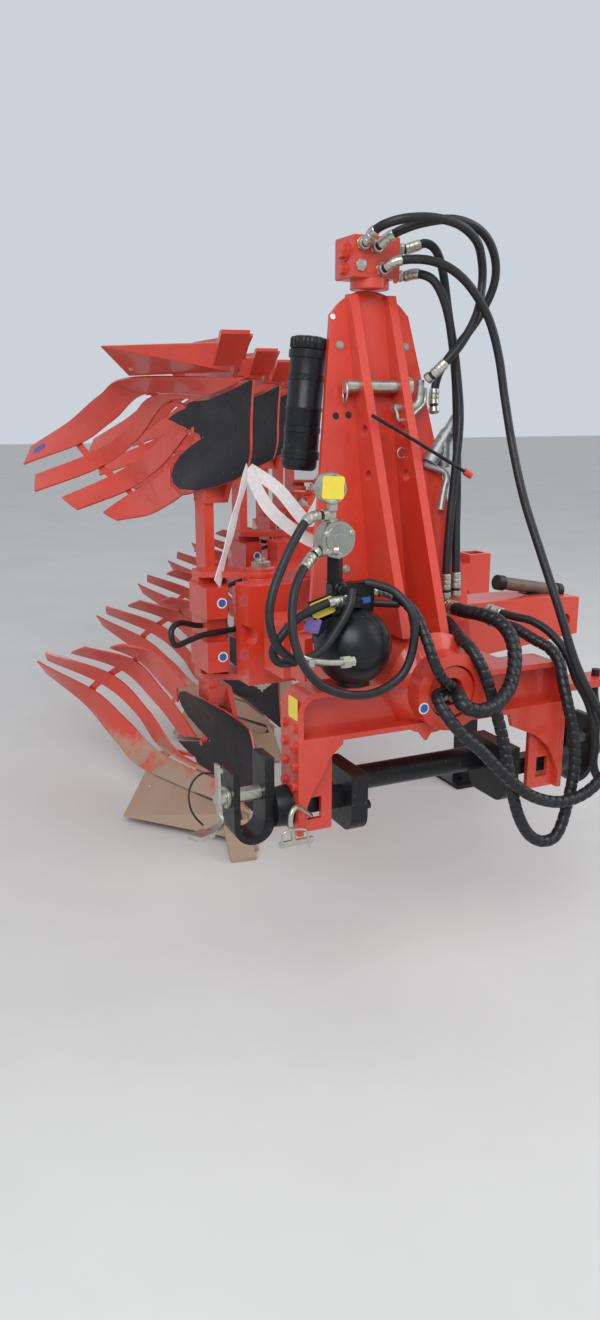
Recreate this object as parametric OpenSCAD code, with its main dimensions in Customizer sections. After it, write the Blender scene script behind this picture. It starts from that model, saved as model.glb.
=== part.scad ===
// Reversible mouldboard plough for five furrows, parked on its lower bodies and its stand.
// X runs to the side, Y to the rear, Z up. The tractor couples at the front, towards -Y.
// The turnover axis lies along Y at x = 0. Rest is the pose in which the plough is parked.

/* [Layout] */
// Height of the turnover axis above the ground
axis_z = 890; // [860:5:920]
// Side step from one body to the next
step_x = 474; // [440:2:500]
// Rear step from one body to the next
step_y = 865; // [840:5:900]
// Place of the first body's pivot beside the turnover axis
pivot_x = -120; // [-130:2:-110]
// Place of the first body's pivot behind the front of the yoke
pivot_y = 870; // [860:2:880]

/* [Headstock] */
// Half the width of the yoke over its feet
yoke_half_w = 350; // [340:5:370]
// Depth of the yoke from front to back
yoke_depth = 200; // [180:5:210]
// Height of the yoke's feet above the ground
yoke_foot_z = 570; // [550:5:590]
// Height of the yoke's shoulders above the turnover axis
yoke_rise = 28; // [20:2:40]
// Thickness of the yoke's plates
yoke_plate = 20; // [14:1:24]
// Outer radius of the turnover boss
boss_r = 110; // [95:1:115]
// Radius of the hollow turnover shaft
shaft_r = 62; // [55:1:68]
// Radius of the hose passage through the shaft
passage_r = 34; // [28:1:38]

/* [Tower] */
// Height of the tower plate's top above the ground
tower_top_z = 1840; // [1800:5:1860]
// Half width of the tower plate at its foot
tower_foot_half_w = 232; // [215:1:240]
// Half width of the tower plate at its shoulders
tower_head_half_w = 112; // [100:2:125]
// Lean of the tower plate to the rear
tower_lean = 11.5; // [10:0.1:12]
// Thickness of the tower plate
tower_plate = 16; // [12:1:18]
// Thickness of each top link rib
rib_t = 24; // [16:1:26]
// Clear gap between the top link ribs
rib_gap = 86; // [80:1:96]
// Height of the top link pin above the ground
top_link_z = 1600; // [1540:10:1640]
// Radius of the top link pin
top_link_r = 15.9; // [12:0.1:18]

/* [Lower hitch] */
// Distance between the centres of the two lower links
link_span = 965; // [945:5:1000]
// Height of the lower link pins above the ground
link_pin_z = 670; // [655:1:685]
// Place of the lower link pins behind the front of the yoke
link_pin_y = 100; // [90:1:105]
// Radius of the cross shaft's tube
cross_shaft_r = 25; // [20:1:30]
// Side of the square stubs that carry the link brackets
stub_w = 40; // [34:1:44]
// Radius of each lower link pin
link_pin_r = 18.3; // [14:0.1:19]
// Clear gap between the cheeks of a link bracket
link_gap = 95; // [85:1:100]
// Thickness of the cheeks of a link bracket
link_cheek = 25; // [18:1:28]

/* [Frame] */
// Width of the main beam
beam_w = 140; // [120:5:150]
// Height of the main beam
beam_h = 150; // [130:5:180]
// Height of the pivot sleeves on the main beam
sleeve_h = 306; // [296:2:320]
// Radius of each pivot sleeve
sleeve_r = 58; // [52:1:60]
// Radius of each pivot pin
pivot_pin_r = 26; // [22:1:30]
// Thickness of the ears that turn on the pivot pins
ear_t = 18; // [14:1:24]
// Place of the width pivot beside the turnover axis
width_pivot_x = 62; // [58:1:66]
// Place of the width pivot behind the front of the yoke
width_pivot_y = 850; // [840:2:860]
// Reach of the cross arm to the side
cross_arm_reach = 880; // [840:10:900]
// Height of the cross arm
cross_arm_h = 165; // [140:5:180]
// Side of the stand's square tube
stand_w = 70; // [60:2:80]

/* [Bodies] */
// Width of a leg bar across the furrow
leg_w = 35; // [30:1:40]
// Depth of a leg bar along the furrow
leg_d = 100; // [80:5:110]
// Thickness of the mouldboard slats and shins
board_t = 9; // [7:0.5:11]
// Thickness of the shares
share_t = 13; // [10:1:16]

/* [Hidden] */
BODY_COUNT = 5;

RED = [0.80, 0.16, 0.10];
BLACK = [0.10, 0.11, 0.12];
STEEL = [0.72, 0.73, 0.70];
TAN = [0.70, 0.60, 0.42];

// Clearance of faces that nearly touch, and radial clearance of a running shaft
seat_gap = 0.3;
run_gap = 0.05;

// Middle of the plough seen from above, from the turnover axis at the front of the yoke
middle = [657, 2907.6];

beam_angle = atan2(step_x, step_y);
beam_length = 4 * norm([step_x, step_y]);

// Curves through listed points, and surfaces through a grid of such curves
function catmull(a, b, c, d, t) =
    0.5 * (2 * b + (c - a) * t + (2 * a - 5 * b + 4 * c - d) * t * t + (3 * b - a - 3 * c + d) * t * t * t);
function along(list, s) =
    let (last = len(list) - 1, i = max(0, min(floor(s), last - 1)), t = s - i)
    catmull(i > 0 ? list[i - 1] : 2 * list[0] - list[1], list[i], list[i + 1],
            i < last - 1 ? list[i + 2] : 2 * list[last] - list[last - 1], t);
function unit(v) = v / norm(v);

// Flow lines of the mouldboard from its lower edge to its upper edge, as [x, y, z] from the body's pivot
// Columns: breast edge, root of the slats, belly, wing, tip
FLOW = [
    [[40, 330, -764], [-150, 880, -764], [-210, 1110, -710], [-282, 1405, -624], [-410, 1630, -490]],
    [[54, 324, -684], [-53, 867, -705], [-160, 1090, -605], [-255, 1270, -505], [-450, 1450, -390]],
    [[69, 317, -604], [-5, 640, -650], [-95, 930, -520], [-185, 1150, -415], [-430, 1220, -315]],
    [[83, 311, -525], [10, 550, -500], [-75, 820, -430], [-130, 1030, -345], [-305, 1035, -268]],
    [[98, 305, -445], [-20, 530, -410], [-70, 710, -335], [-115, 870, -280], [-210, 920, -242]]];

function flow(u, v) = along([for (row = FLOW) along(row, u)], v);
function flow_normal(u, v) =
    let (e = 0.02, du = flow(u + e, v) - flow(u - e, v), dv = flow(u, v + e) - flow(u, v - e))
    unit(cross(du, dv));

// Closed sheet over a grid of [u, v] places on the mouldboard, t thick, its middle set back from the surface
module sheet(uv, t, back = 0) {
    rows = len(uv);
    cols = len(uv[0]);
    rear = [for (r = uv, p = r) flow(p[0], p[1]) + flow_normal(p[0], p[1]) * (back + t / 2)];
    front = [for (r = uv, p = r) flow(p[0], p[1]) + flow_normal(p[0], p[1]) * (back - t / 2)];
    n = rows * cols;
    edge = concat(
        [for (c = [0:cols - 1]) c],
        [for (r = [1:rows - 1]) r * cols + cols - 1],
        [for (c = [cols - 2:-1:0]) (rows - 1) * cols + c],
        [for (r = [rows - 2:-1:1]) r * cols]);
    faces = concat(
        [for (r = [0:rows - 2], c = [0:cols - 2], h = [0, 1])
            let (a = r * cols + c)
            h == 0 ? [a, a + cols, a + 1] : [a + 1, a + cols, a + cols + 1]],
        [for (r = [0:rows - 2], c = [0:cols - 2], h = [0, 1])
            let (a = n + r * cols + c)
            h == 0 ? [a, a + 1, a + cols] : [a + 1, a + cols + 1, a + cols]],
        [for (i = [0:len(edge) - 1], h = [0, 1])
            let (a = edge[i], b = edge[(i + 1) % len(edge)])
            h == 0 ? [a, b, n + a] : [b, n + b, n + a]]);
    polyhedron(points = concat(rear, front), faces = faces);
}

// Both bodies of a leg: the lower one as given and the upper one mirrored over the axis
module both_bodies(k) {
    translate([pivot_x + (k - 1) * step_x, pivot_y + (k - 1) * step_y, axis_z]) {
        children();
        mirror([0, 0, 1]) children();
    }
}

// Slats: row of the flow lines, start at the lower edge, in the middle and at the upper edge
SLATS = [[0, 0.02, 0.23, 0.44], [1, 0.46, 0.70, 0.93], [2, 0.95, 0.87, 1.08], [3, 1.12, 1.18, 1.08]];
slat_steps = 18;
function slat_gap(u) = u < 1 ? 0.012 : 0.012 + 0.24 * pow((u - 1) / 3, 1.3);

module slat(s) {
    uv = [for (i = [0:slat_steps])
        [for (j = [0:2])
            let (w = j / 2, u0 = s[j + 1], tip = 4 - 0.16 * (1 - w), u = u0 + (tip - u0) * i / slat_steps, g = slat_gap(u))
            [u, s[0] + g + (1 - 2 * g) * w]]];
    sheet(uv, board_t);
}

module slats(k) {
    color(RED)
    both_bodies(k)
        for (s = SLATS) slat(s);
}

// Straps behind the slats: start and end along the flow, start and end across it, steps across
STRAPS = [[1.00, 1.12, 0.45, 3.7, 10], [2.95, 3.07, 0.7, 1.3, 2], [2.95, 3.07, 1.7, 2.3, 2], [2.95, 3.07, 2.7, 3.3, 2]];
strap_t = 8;
strap_gap = 2.2;
strap_back = board_t / 2 + strap_gap + strap_t / 2;
module straps(k) {
    color(RED)
    both_bodies(k)
        for (s = STRAPS)
            sheet([for (u = [s[0], s[1]]) [for (j = [0:s[4]]) [u, s[2] + (s[3] - s[2]) * j / s[4]]]], strap_t, strap_back);
}

// Outline of the shin: height on the flow lines, reach from the breast edge
SHIN = [[0.14, 0.04], [0.8, 0.35], [1.4, 0.63], [1.98, 0.90], [2.4, 0.80], [2.75, 0.74], [2.95, 1.02],
        [3.2, 1.11], [3.6, 1.13], [3.88, 1.02], [3.98, 0.86]];
module shins(k) {
    color(BLACK)
    both_bodies(k)
        sheet([for (i = [0:4]) [for (s = SHIN) [s[1] * i / 4, s[0]]]], board_t);
}

// Share blade from its lower edge and its upper edge, from the body's pivot
SHARE_LOW = [[0, 330, -860], [-300, 680, -860]];
SHARE_TOP = [[40, 322, -770], [-150, 876, -770]];

module slab(corners, t) {
    n = cross(corners[1] - corners[0], corners[3] - corners[0]);
    d = n / norm(n) * t;
    polyhedron(points = concat(corners, [for (c = corners) c + d]),
               faces = [[0, 1, 3], [1, 2, 3], [4, 7, 5], [5, 7, 6], [0, 4, 1], [4, 5, 1], [1, 5, 2], [5, 6, 2],
                        [2, 6, 3], [6, 7, 3], [3, 7, 0], [7, 4, 0]]);
}

module shares(k) {
    color(TAN)
    both_bodies(k) {
        slab([SHARE_LOW[0], SHARE_LOW[1], SHARE_TOP[1], SHARE_TOP[0]], share_t);
        translate([0, 180, 0])
            rotate([0, 0, -8.5])
                translate([-46, 0, 0])
                    rotate([90, 0, 90])
                        linear_extrude(91)
                            polygon([[0, -axis_z], [24, -axis_z], [140, -806], [130, -788], [0, 12 - axis_z]]);
    }
}

// Posts behind the mouldboard: place along the flow, place across it, distance of the end behind the surface
POSTS = [[0.45, 1.5, board_t / 2 + strap_gap], [0.5, 3.4, board_t / 2 + strap_gap],
         [1.06, 1.7, board_t / 2 + 1.7 * strap_gap + strap_t], [1.06, 3.3, board_t / 2 + 1.7 * strap_gap + strap_t]];
share_normal = unit(cross(SHARE_LOW[1] - SHARE_LOW[0], SHARE_TOP[0] - SHARE_LOW[0]));
function share_at(a, b) = SHARE_LOW[0] + (SHARE_LOW[1] - SHARE_LOW[0]) * a + (SHARE_TOP[0] - SHARE_LOW[0]) * b;
SHARE_POSTS = [share_at(0.15, 0.5), share_at(0.32, 0.55)];
module post(p, n, r) {
    reach = (FROG_X + 6 - p[0]) / n[0];
    translate(p) rotate([0, acos(n[2]), atan2(n[1], n[0])]) cylinder(r = r, h = reach, $fn = 32);
}

// Leg bracket, legs, frogs and landsides of one pair of bodies
knuckle_x0 = -190;
knuckle_x1 = -68;
knuckle_y0 = -30;
knuckle_y1 = 130;
knuckle_top = 132;
knuckle_seam = 36;
FROG_X = 60;
leg_x = 10;
leg_y = 490;
ear_z = sleeve_h / 2 + seat_gap;

module leg(k) {
    color(RED)
    both_bodies(k) {
        // Ear on the pivot pin
        translate([0, 0, ear_z])
            linear_extrude(ear_t)
                difference() {
                    union() {
                        circle(r = sleeve_r - 8, $fn = 64);
                        polygon([[0, sleeve_r - 10], [-40, -20], [knuckle_x0 + 10, 50], [knuckle_x0 + 10, knuckle_y1],
                                 [knuckle_x1, knuckle_y1]]);
                    }
                    circle(r = pivot_pin_r + run_gap, $fn = 64);
                }
        // Block of the knuckle and riser to the ear
        translate([0, 0, knuckle_seam])
            linear_extrude(knuckle_top - knuckle_seam)
                polygon([[knuckle_x0, knuckle_y0], [knuckle_x1 - 54, knuckle_y0], [knuckle_x1 - 48, 0], [knuckle_x1 - 14, 70],
                         [knuckle_x1, knuckle_y1], [knuckle_x0, knuckle_y1]]);
        translate([knuckle_x0 + 10, 70, knuckle_top])
            cube([90, knuckle_y1 - 70, ear_z - knuckle_top]);
        // Arm from the knuckle back to the leg
        linear_extrude(60)
            polygon([[knuckle_x0 + 10, 0], [knuckle_x1 - 50, 0], [knuckle_x1 - 18, 70], [knuckle_x1 - 8, 130], [leg_x + 24, leg_y],
                     [leg_x + 24, leg_y + leg_d], [leg_x - 40, leg_y + leg_d], [knuckle_x0 + 10, 140]]);
        // Leg bar
        translate([leg_x - leg_w / 2, leg_y, 0])
            cube([leg_w, leg_d, 395]);
        // Bridge from the leg bar to the frog
        translate([leg_x - leg_w / 2, leg_y - 10, 335])
            cube([FROG_X + 18 - leg_x + leg_w / 2, leg_d + 20, 60]);
        // Frog plate behind the mouldboard
        translate([FROG_X, 0, 0])
            rotate([90, 0, 90])
                linear_extrude(18)
                    polygon([[leg_y - 10, -335], [420, -430], [415, -700], [338, -800], [318, -812], [232, -876],
                             [232, -884], [860, -884], [860, -760], [660, -430], [leg_y + 110, -335]]);
        // Nose under the point
        translate([0, 180, 0])
            rotate([0, 0, -8.5])
                translate([-20, 0, 0])
                    rotate([90, 0, 90])
                        linear_extrude(80)
                            polygon([[70, -857.1], [136, -809.3], [138, -835], [110, -872]]);
        // Posts from the frog plate to the backs of the shin, the strap and the share
        for (s = POSTS)
            post(flow(s[0], s[1]) + flow_normal(s[0], s[1]) * s[2], flow_normal(s[0], s[1]), 12);
        for (p = SHARE_POSTS)
            post(p + share_normal * (share_t + seat_gap), share_normal, 12);
        // Landside
        translate([FROG_X + 17, 350, -axis_z])
            cube([15, 460, 118]);
    }
}

// Headstock
function yoke_outline() =
    let (w = yoke_half_w, foot = yoke_foot_z - axis_z, top = yoke_rise)
    [[-w, foot], [-w + 44, foot], [-w + 52, foot + 80], [-w + 100, -180], [-w + 240, -128], [-50, -112], [0, -132],
     [50, -112], [w - 240, -128], [w - 100, -180], [w - 52, foot + 80], [w - 44, foot], [w, foot],
     [w, top - 60], [w - 18, top - 18], [w - 60, top], [-w + 60, top], [-w + 18, top - 18], [-w, top - 60]];

module headstock_yoke() {
    color(RED)
    difference() {
        union() {
            // Front plate and back plate with the arch under the boss
            for (y = [yoke_plate, yoke_depth])
                translate([0, y, axis_z])
                    rotate([90, 0, 0])
                        linear_extrude(yoke_plate)
                            polygon(yoke_outline());
            // Cheeks at both ends
            for (s = [-1, 1])
                translate([s * (yoke_half_w - yoke_plate / 2) - yoke_plate / 2, 0, yoke_foot_z])
                    cube([yoke_plate, yoke_depth, axis_z + yoke_rise - 60 - yoke_foot_z]);
            // Top plate
            translate([-yoke_half_w + 60, 0, axis_z + yoke_rise - yoke_plate])
                cube([2 * yoke_half_w - 120, yoke_depth, yoke_plate]);
            // Saddle under the tower plate
            translate([-tower_foot_half_w, yoke_depth - 1, axis_z - 100])
                cube([2 * tower_foot_half_w, 101, 100 + yoke_rise]);
            // Turnover boss with its mouth
            translate([0, yoke_depth + 100, axis_z])
                rotate([90, 0, 0])
                    cylinder(r = boss_r, h = yoke_depth + 100, $fn = 96);
            translate([0, 0, axis_z])
                rotate([90, 0, 0])
                    cylinder(r1 = boss_r, r2 = boss_r - 18, h = 50, $fn = 96);
            // Pad under the ribs of the tower
            translate([-rib_gap / 2 - rib_t, 90, axis_z])
                cube([rib_gap + 2 * rib_t, 145, boss_r]);
        }
        translate([0, yoke_depth + 101, axis_z])
            rotate([90, 0, 0])
                cylinder(r = shaft_r + run_gap, h = yoke_depth + 121, $fn = 96);
        translate([0, 0, axis_z])
            rotate([90, 0, 0])
                cylinder(r = passage_r, h = 60, $fn = 64);
        // Windows for the stubs of the cross shaft
        for (s = [-1, 1])
            translate([s * (yoke_half_w - 10), stub_y, stub_z])
                cube([80, stub_w + 2 * seat_gap, stub_w + 2 * seat_gap], center = true);
    }
}

stub_y = link_pin_y - 50;
stub_z = link_pin_z - 55;

// Tower: height along the leaning plate for a height above the ground
tower_foot_z = axis_z + yoke_rise + seat_gap + tower_plate * sin(tower_lean);
tower_foot_y = 240;
function plate_s(z) = (z - tower_foot_z) / cos(tower_lean);
function plate_y(z) = tower_foot_y + (z - tower_foot_z) * tan(tower_lean);
rib_foot_z = axis_z + boss_r + seat_gap;
crown_r = 130;
top_link_y = plate_y(top_link_z) - 32;

module tower() {
    color(RED) {
        // Leaning plate with a round head and a notch over the boss
        translate([0, tower_foot_y, tower_foot_z])
            rotate([90 - tower_lean, 0, 0])
                mirror([0, 0, 1])
                    linear_extrude(tower_plate)
                        union() {
                            polygon([[-tower_foot_half_w, 0], [-boss_r - 1, 0], [-boss_r - 1, plate_s(rib_foot_z + 5)],
                                     [boss_r + 1, plate_s(rib_foot_z + 5)], [boss_r + 1, 0], [tower_foot_half_w, 0],
                                     [tower_foot_half_w, plate_s(1080)], [172, plate_s(1420)],
                                     [tower_head_half_w, plate_s(1780)], [-tower_head_half_w, plate_s(1780)],
                                     [-172, plate_s(1420)], [-tower_foot_half_w, plate_s(1080)]]);
                            intersection() {
                                translate([0, plate_s(tower_top_z - crown_r)]) circle(r = crown_r, $fn = 96);
                                translate([-tower_head_half_w, plate_s(1770)]) square([2 * tower_head_half_w, 200]);
                            }
                        }
        // Top link ribs
        difference() {
            for (s = [-1, 1])
                translate([s * (rib_gap + rib_t) / 2 - rib_t / 2, 0, 0])
                    rotate([90, 0, 90])
                        linear_extrude(rib_t)
                            polygon([[100, rib_foot_z], [plate_y(rib_foot_z) + 4, rib_foot_z],
                                     [plate_y(tower_top_z - 15) + 4, tower_top_z - 15],
                                     [plate_y(tower_top_z - 15) - 22, tower_top_z - 15]]);
            translate([-100, top_link_y, top_link_z])
                rotate([0, 90, 0])
                    cylinder(r = top_link_r + run_gap, h = 200, $fn = 64);
            // Spare holes below the top link pin
            for (drop = [110, 220])
                translate([-100, plate_y(top_link_z - drop) - 45, top_link_z - drop])
                    rotate([0, 90, 0])
                        cylinder(r = 16, h = 200, $fn = 64);
        }
        // Lug and pin that carry the turnover cylinder
        translate([0, cyl_y - 24, anchor_z])
            rotate([90, 0, 0])
                cylinder(r = 34, h = cyl_y - 24 - plate_y(anchor_z) - 5, $fn = 64);
        translate([0, cyl_y + 24, anchor_z])
            rotate([90, 0, 0])
                cylinder(r = 18, h = 60, $fn = 64);
    }
}

crown_z = tower_top_z - crown_r + crown_r * cos(tower_lean);
module valve_block() {
    color(RED)
    translate([0, plate_y(tower_top_z) - 4, crown_z + seat_gap]) {
        cylinder(r = 40, h = 25, $fn = 64);
        translate([-78, -50, 22]) cube([150, 100, 110]);
        translate([-77, -10, 82]) rotate([0, -90, 0]) cylinder(r = 18, h = 26, $fn = 64);
    }
}

module top_link_pin() {
    color(STEEL)
    translate([0, top_link_y, top_link_z])
        rotate([0, 90, 0]) {
            translate([0, 0, -105]) cylinder(r = top_link_r, h = 185, $fn = 64);
            translate([0, 0, rib_gap / 2 + rib_t + seat_gap]) cylinder(r = top_link_r + 9, h = 12, $fn = 64);
        }
}

module cross_shaft() {
    color(BLACK) {
        translate([-260, link_pin_y, link_pin_z]) rotate([0, 90, 0]) cylinder(r = cross_shaft_r, h = 520, $fn = 64);
        for (s = [-1, 1]) {
            translate([s * 260 - 14, stub_y - 28, stub_z - 34]) cube([28, 108, 120]);
            translate([s > 0 ? 270 : -link_span / 2 + link_gap / 2 + link_cheek + seat_gap, stub_y - stub_w / 2, stub_z - stub_w / 2])
                cube([link_span / 2 - link_gap / 2 - link_cheek - seat_gap - 270, stub_w, stub_w]);
        }
    }
}

module link_bracket(s) {
    outer = link_gap / 2 + link_cheek;
    bow = link_pin_z - 62;
    color(BLACK)
    translate([s * link_span / 2, 0, 0])
        difference() {
            translate([0, link_pin_y + 40, 0])
                rotate([90, 0, 0])
                    linear_extrude(110)
                        difference() {
                            union() {
                                translate([0, bow]) circle(r = outer, $fn = 96);
                                translate([-outer, bow]) square([2 * outer, link_pin_z + 86 - bow]);
                            }
                            translate([0, bow]) circle(r = link_gap / 2, $fn = 96);
                            translate([-link_gap / 2, bow]) square([link_gap, 200]);
                        }
            translate([-150, link_pin_y, link_pin_z]) rotate([0, 90, 0]) cylinder(r = link_pin_r + run_gap, h = 300, $fn = 64);
        }
}

module link_pins() {
    outer = link_gap / 2 + link_cheek;
    color(STEEL)
    for (s = [-1, 1])
        translate([s * link_span / 2, link_pin_y, link_pin_z])
            rotate([0, s * 90, 0]) {
                translate([0, 0, -outer]) cylinder(r = link_pin_r, h = 2 * outer + 20, $fn = 64);
                translate([0, 0, outer + seat_gap]) cylinder(r = link_pin_r + 10, h = 10, $fn = 64);
                translate([-100, -8, outer + 16]) cube([110, 16, 10]);
            }
}

module accumulator() {
    color(BLACK) {
        translate([-229, 55, axis_z + yoke_rise + 92]) sphere(r = 91, $fn = 96);
        translate([-229, 55, axis_z + yoke_rise + seat_gap]) cylinder(r = 40, h = 60, $fn = 64);
        translate([-285, 55, axis_z + yoke_rise + 170]) cube([110, 30, 70]);
        translate([-229 - 15, 60, axis_z + yoke_rise + 60]) cube([30, 185, 40]);
    }
}

module pressure_gauge() {
    color(STEEL) {
        translate([-281, 70, 1263]) rotate([90, 0, 0]) cylinder(r = 43, h = 45, $fn = 96);
        translate([-288, 50, 1290]) cylinder(r = 9, h = 60, $fn = 64);
        translate([-294, 62, 1376]) rotate([90, 0, 0]) cylinder(r = 35, h = 28, $fn = 96);
        translate([-290, 60, axis_z + yoke_rise + 240 + seat_gap]) cube([40, 20, 90]);
    }
}

module canister() {
    color(BLACK) {
        translate([-183, 455, 1390]) rotate([0, 5.4, 0]) cylinder(r = 46, h = 335, $fn = 96);
        translate([-178, plate_y(1520) + tower_plate / cos(tower_lean) + seat_gap + 2.1, 1500]) cube([24, 60, 30]);
    }
}

// Hose along a route through listed points
module hose(route, r, steps, sides = 8) {
    last = (len(route) - 1) * steps;
    p = [for (i = [0:last]) along(route, i / steps)];
    t = [for (i = [0:last]) unit(p[min(i + 1, last)] - p[max(i - 1, 0)])];
    side0 = abs(t[0][2]) < 0.9 ? unit(cross(t[0], [0, 0, 1])) : unit(cross(t[0], [1, 0, 0]));
    n = [for (i = 0, d = side0; i <= last; i = i + 1, d = unit(d - (d * t[min(i, last)]) * t[min(i, last)])) d];
    rings = [for (i = [0:last], a = [0:sides - 1])
        p[i] + r * (cos(a * 360 / sides) * n[i] + sin(a * 360 / sides) * cross(t[i], n[i]))];
    faces = concat(
        [for (i = [0:last - 1], a = [0:sides - 1])
            let (b = (a + 1) % sides, o = i * sides)
            [o + a, o + sides + a, o + sides + b, o + b]],
        [[for (a = [0:sides - 1]) a]],
        [[for (a = [sides - 1:-1:0]) last * sides + a]]);
    polyhedron(points = rings, faces = faces);
}

// Routes of the hoses: radius, points
GAUGE_HOSES = [
    [10, [[-325, 45, 1300], [-360, 20, 1290], [-400, -10, 1180], [-380, -30, 1020], [-280, -60, 960], [-130, -50, 960],
          [-60, -20, 1060], [-110, 10, 1160], [-200, 20, 1200]]],
    [10, [[-310, 40, 1225], [-350, 10, 1190], [-370, -20, 1080], [-340, -50, 1000], [-250, -60, 1010], [-205, -30, 1090],
          [-215, 20, 1160]]]];
module hoses_gauge() {
    color(BLACK)
    for (h = GAUGE_HOSES) hose(h[1], h[0], 3);
}

TOWER_HOSES = [
    [11, [[75, 395, 1900], [110, 395, 1900], [190, 360, 1870], [215, 320, 1700], [205, 290, 1450], [195, 280, 1200], [190, 240, 1100],
          [240, 120, 1040], [400, 60, 1010], [520, 60, 940], [530, 60, 860], [530, 60, 815]]],
    [11, [[75, 410, 1935], [110, 410, 1935], [215, 385, 1890], [245, 340, 1700], [240, 310, 1450], [235, 290, 1250], [240, 240, 1130],
          [300, 120, 1080], [450, 70, 1050], [555, 60, 960], [565, 60, 860], [565, 60, 815]]]];
module hoses_tower() {
    color(BLACK)
    for (h = TOWER_HOSES) hose(h[1], h[0], 3);
}

module hose_holder() {
    color(RED)
    difference() {
        translate([yoke_half_w + seat_gap, 20, 832]) cube([250, 80, 20]);
        for (x = [530, 565])
            translate([x, 60, 700]) cylinder(r = 11 + seat_gap, h = 200, $fn = 64);
    }
}

// Turnover cylinder between the tower and the crank of the swing head
crank_r = 120;
anchor_h = 550;
anchor_z = axis_z + anchor_h;
cyl_y = 426;
cyl_angle = atan2(crank_r, anchor_h);
cyl_length = norm([crank_r, anchor_h]);

module on_turnover_cylinder() {
    translate([0, cyl_y, anchor_z]) rotate([0, 180 - cyl_angle, 0]) children();
}

module turnover_barrel() {
    color(BLACK)
    on_turnover_cylinder()
        difference() {
            union() {
                rotate([90, 0, 0]) cylinder(r = 36, h = 40, center = true, $fn = 64);
                translate([0, 0, 40]) cylinder(r = 40, h = 295, $fn = 64);
                translate([-25, -20, 10]) cube([50, 40, 40]);
            }
            rotate([90, 0, 0]) cylinder(r = 18 + run_gap, h = 60, center = true, $fn = 64);
            translate([0, 0, 60]) cylinder(r = 20 + run_gap, h = 300, $fn = 64);
        }
}

module turnover_rod() {
    color(STEEL)
    on_turnover_cylinder() {
        translate([0, 0, 210]) cylinder(r = 20, h = cyl_length - 210, $fn = 64);
        translate([0, 0, cyl_length]) rotate([90, 0, 0]) cylinder(r = 33, h = 36, center = true, $fn = 64);
        // Pin that reaches to just short of both crank plates
        translate([0, 0, cyl_length]) rotate([90, 0, 0]) cylinder(r = 15, h = throw_gap - 2 * seat_gap, center = true, $fn = 64);
    }
}

// Swing head: shaft, hub and the open throw that the rod turns through
hub_y = yoke_depth + 100 + seat_gap;
arm_y0 = 520;
throw_gap = 50;
throw_plate = 20;
module swing_head() {
    throw_y = cyl_y - throw_gap / 2 - throw_plate;
    color(RED)
    difference() {
        union() {
            translate([0, hub_y + 10, axis_z]) rotate([90, 0, 0]) cylinder(r = shaft_r, h = hub_y + 29, $fn = 96);
            translate([0, throw_y + 1, axis_z]) rotate([90, 0, 0]) cylinder(r = boss_r, h = throw_y + 1 - hub_y, $fn = 96);
            for (y = [throw_y, throw_y + throw_gap + throw_plate])
                translate([0, y + throw_plate, axis_z])
                    rotate([90, 0, 0])
                        linear_extrude(throw_plate)
                            polygon([[-200, -62], [0, -90], [crank_r + 20, -34], [crank_r + 36, 0], [crank_r + 20, 34], [0, 90],
                                     [-200, 62]]);
            translate([-200, throw_y + 1, axis_z - 62]) cube([105, throw_gap + 2 * throw_plate - 2, 124]);
            translate([0, arm_y0 - seat_gap, axis_z])
                rotate([90, 0, 0])
                    cylinder(r = 82, h = arm_y0 - seat_gap - throw_y - throw_gap - throw_plate - 1, $fn = 96);
        }
        translate([0, throw_y + throw_plate + 5, axis_z])
            rotate([90, 0, 0])
                cylinder(r = passage_r, h = arm_y0 + 100, $fn = 64);
    }
}

// Cross arm with the ears of the width pivot
module cross_arm() {
    color(RED)
    difference() {
        union() {
            translate([-200, arm_y0, axis_z - cross_arm_h / 2]) cube([cross_arm_reach + 200, 140, cross_arm_h]);
            // Clevis and pin of the width cylinder
            translate([width_anchor[0] - 45, arm_y0 + 139, axis_z - 46]) cube([90, width_anchor[1] - arm_y0 - 139, 92]);
            translate([width_anchor[0], width_anchor[1], axis_z - 46]) cylinder(r = 45, h = 92, $fn = 64);
            for (m = [0, 1])
                translate([0, 0, axis_z]) mirror([0, 0, m]) {
                    translate([width_pivot_x - 60, arm_y0 + 60, cross_arm_h / 2 - 1])
                        cube([120, 80, sleeve_h / 2 + seat_gap - cross_arm_h / 2 + 2]);
                    translate([0, 0, sleeve_h / 2 + seat_gap])
                        linear_extrude(25)
                            union() {
                                translate([width_pivot_x, width_pivot_y]) circle(r = 60, $fn = 64);
                                translate([width_pivot_x - 60, arm_y0 + 60])
                                    square([120, width_pivot_y - arm_y0 - 60]);
                            }
                }
        }
        translate([width_pivot_x, width_pivot_y, axis_z])
            cylinder(r = pivot_pin_r + run_gap, h = 500, center = true, $fn = 64);
        translate([width_anchor[0] - 100, width_anchor[1] - 50, axis_z - 26]) cube([200, 100, 52]);
        translate([cross_arm_reach - 70, arm_y0 + 70, axis_z])
            cylinder(r = 20, h = 400, center = true, $fn = 64);
    }
    color(RED)
    translate([width_anchor[0], width_anchor[1], axis_z - 40]) cylinder(r = 18, h = 80, $fn = 64);
}

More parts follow.
